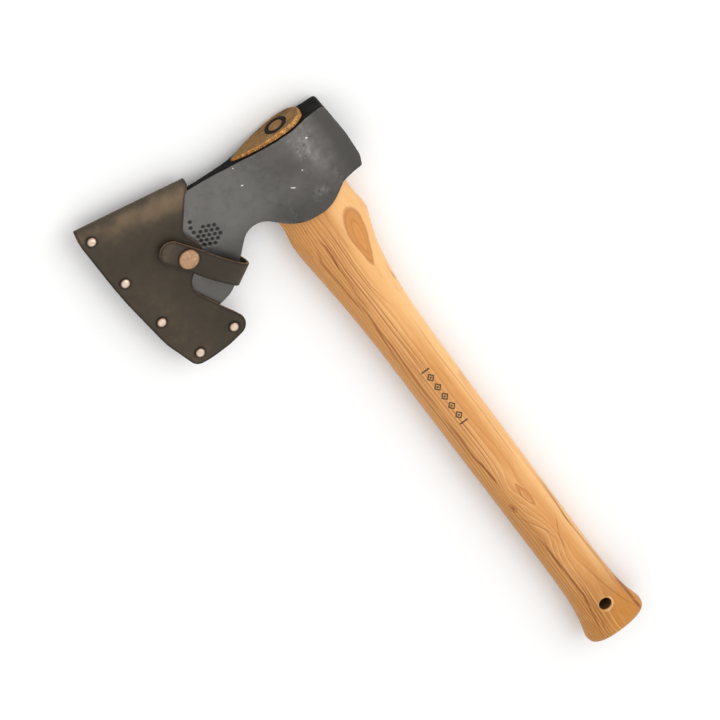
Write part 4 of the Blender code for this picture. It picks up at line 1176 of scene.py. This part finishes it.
def build_strap(material):
    """The strap as one piece, bent along its middle line, with a pressed ring round the snap's cap, darkened
    partly as painted shade under the cap's edge.
    """
    path, length = strap_path()
    even = np.linspace(0, length[-1], 400)
    line = np.column_stack([np.interp(even, length, path[:, k]) for k in (0, 1)])
    kernel = np.hanning(15) / np.hanning(15).sum()
    padded = np.vstack((line[0] - (line[1] - line[0]) * np.arange(7, 0, -1)[:, None], line,
                        line[-1] + (line[-1] - line[-2]) * np.arange(1, 8)[:, None]))
    line = np.column_stack([np.convolve(padded[:, k], kernel, "valid") for k in (0, 1)])
    snap_at = even[np.argmin(np.hypot(line[:, 0], line[:, 1] - FLAP_LEVEL - 1.1))]

    def surface(s, w):
        s_in = np.clip(s, even[0], even[-1])
        t = np.interp(s_in, even, line[:, 0])
        z = np.interp(s_in, even, line[:, 1])
        place = SNAP + t[:, None] * STRAP_WAY + w[:, None] * STRAP_SIDE
        sag = -0.35 * np.exp(-(np.hypot(s - snap_at, w) / 9.5) ** 4)
        crown = 0.25 * (1 - (w / (STRAP_WIDTH / 2)) ** 2) * np.clip((s - snap_at + 40) / 20, 0, 1)
        ripple = np.array([noise.noise(Vector((p, q, 7.7)) / 15) for p, q in zip(s, w)]) * 0.30
        outward = np.sign(z) * np.minimum(np.abs(z) / 6, 1)
        return np.column_stack((place, z + (sag + crown + ripple) * outward))

    half = STRAP_WIDTH / 2
    arc = np.linspace(-math.pi / 2, math.pi / 2, 33)
    outline = [(even[-1] - half + half * math.cos(a), half * math.sin(a)) for a in arc]
    outline += [(half - half * math.cos(a), -half * math.sin(a)) for a in arc]
    made = flat_hide(outline, STRAP_THICKNESS, 0.7, 1.0)
    s, w, t = made["points"].T
    points = offset_surface(surface, s, w, t)
    at_snap = np.array([snap_at]), np.zeros(1)
    outside = np.sign((offset_surface(surface, *at_snap, np.ones(1)) - surface(*at_snap))[0, 2])
    fold_at = even[np.argmax(line[:, 0])]
    worn = 0.50 * np.exp(-((s - fold_at) / 9) ** 2) + 0.45 * np.clip((s - snap_at - 6) / 10, 0, 1)
    ring = np.hypot(s - snap_at, w)
    # A dark ring round the snap's cap: pressed hide, and painted shade under the cap's edge.
    stain_and_painted_shade = np.clip(1.3 - np.abs(ring - SNAP_CAP_RADIUS - 0.1) / 0.6, 0, 1) * (t * outside > 0)
    values = {"flat": made["points"], "rim": made["rim"], "wall": made["wall"],
              "tone": np.clip(0.08 + worn, 0, 1), "stain_and_painted_shade": stain_and_painted_shade * 0.8}
    strap = make_mesh("leather_strap", points, made["faces"], values)
    strap.data.materials.append(material)
    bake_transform(strap)
    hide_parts("strap_tail", "strap_fold", "strap_flap")


def build_snap(material):
    """Four-piece snap: cap and socket on the flap, stud and eyelet post on the front panel."""
    panel = float(panel_mid(*SNAP))
    flap_top = FLAP_LEVEL + STRAP_THICKNESS
    flange = panel + LEATHER / 2 + 0.9
    knob = FLAP_LEVEL - 0.9
    low = FLAP_LEVEL - 0.6
    cap = dome(SNAP_CAP_RADIUS, flap_top - 0.15, 1.5, 0.42, 16)
    cap += [(1.8, flap_top), (1.8, low), (0, low)]
    socket = fillet(((5.2, FLAP_LEVEL - 0.3, 0.3), (5.2, flange + 0.9, 0.45), (2.8, flange + 0.9, 0.45),
                     (2.8, low, 0.1), (2.1, low, 0.1), (2.1, FLAP_LEVEL - 0.3, 0.1)), step=math.radians(20))
    stud = [(0, knob), (1.9, knob), (2.3, knob - 0.2), (2.4, knob - 0.6), (2.1, flange + 0.5),
            (4.3, flange + 0.4), (4.5, flange + 0.2), (4.4, flange), (1.4, flange), (1.4, knob - 0.4),
            (0, knob - 0.4)]
    inner = panel - LEATHER / 2
    eyelet = [(0, knob - 0.7), (1.2, knob - 0.7), (1.2, inner + 0.2), (3.8, inner + 0.2), (4.0, inner),
              (3.8, inner - 0.3), (0, inner - 0.3)]
    pieces = (("snap_dome", cap, False, "strap", "snap_cap", 0.30),
              ("snap_spring_socket", socket, True, "strap", "snap_socket", 0.0),
              ("snap_knob", stud, False, "guard", "snap_stud", 0.0),
              ("snap_eyelet_post", eyelet, False, "guard", "snap_eyelet", 0.0))
    for name, profile, closed, body, node, dent in pieces:
        piece = place_turned(name, profile, SNAP, 1, closed=closed, dent=dent, seed=33)
        dress(piece, material, body, "antique_brass", node)


# ---------------------------------------------------------------- the scene

make_camera()
make_studio()
build_head(forged_steel())
build_handle(hickory())
build_ring(ring_steel())
# The guard's light colour is reached in the painted highlight along its fold and in paler worn places.
guard_hide = hide("guard_leather", (0.185, 0.124, 0.072), (0.056, 0.041, 0.025), (0.034, 0.025, 0.016),
                  (0.250, 0.130, 0.055))
build_cover(guard_hide)
build_welt(hide("welt_leather", (0.150, 0.085, 0.042), (0.110, 0.064, 0.033), (0.070, 0.042, 0.023),
                (0.120, 0.070, 0.036)))
build_rivets(worn_metal("copper_rivet", (0.88, 0.72, 0.58), (0.50, 0.32, 0.22), 0.30))
build_strap(guard_hide)
build_snap(worn_metal("antique_brass", (0.56, 0.345, 0.205), (0.27, 0.150, 0.078), 0.26))
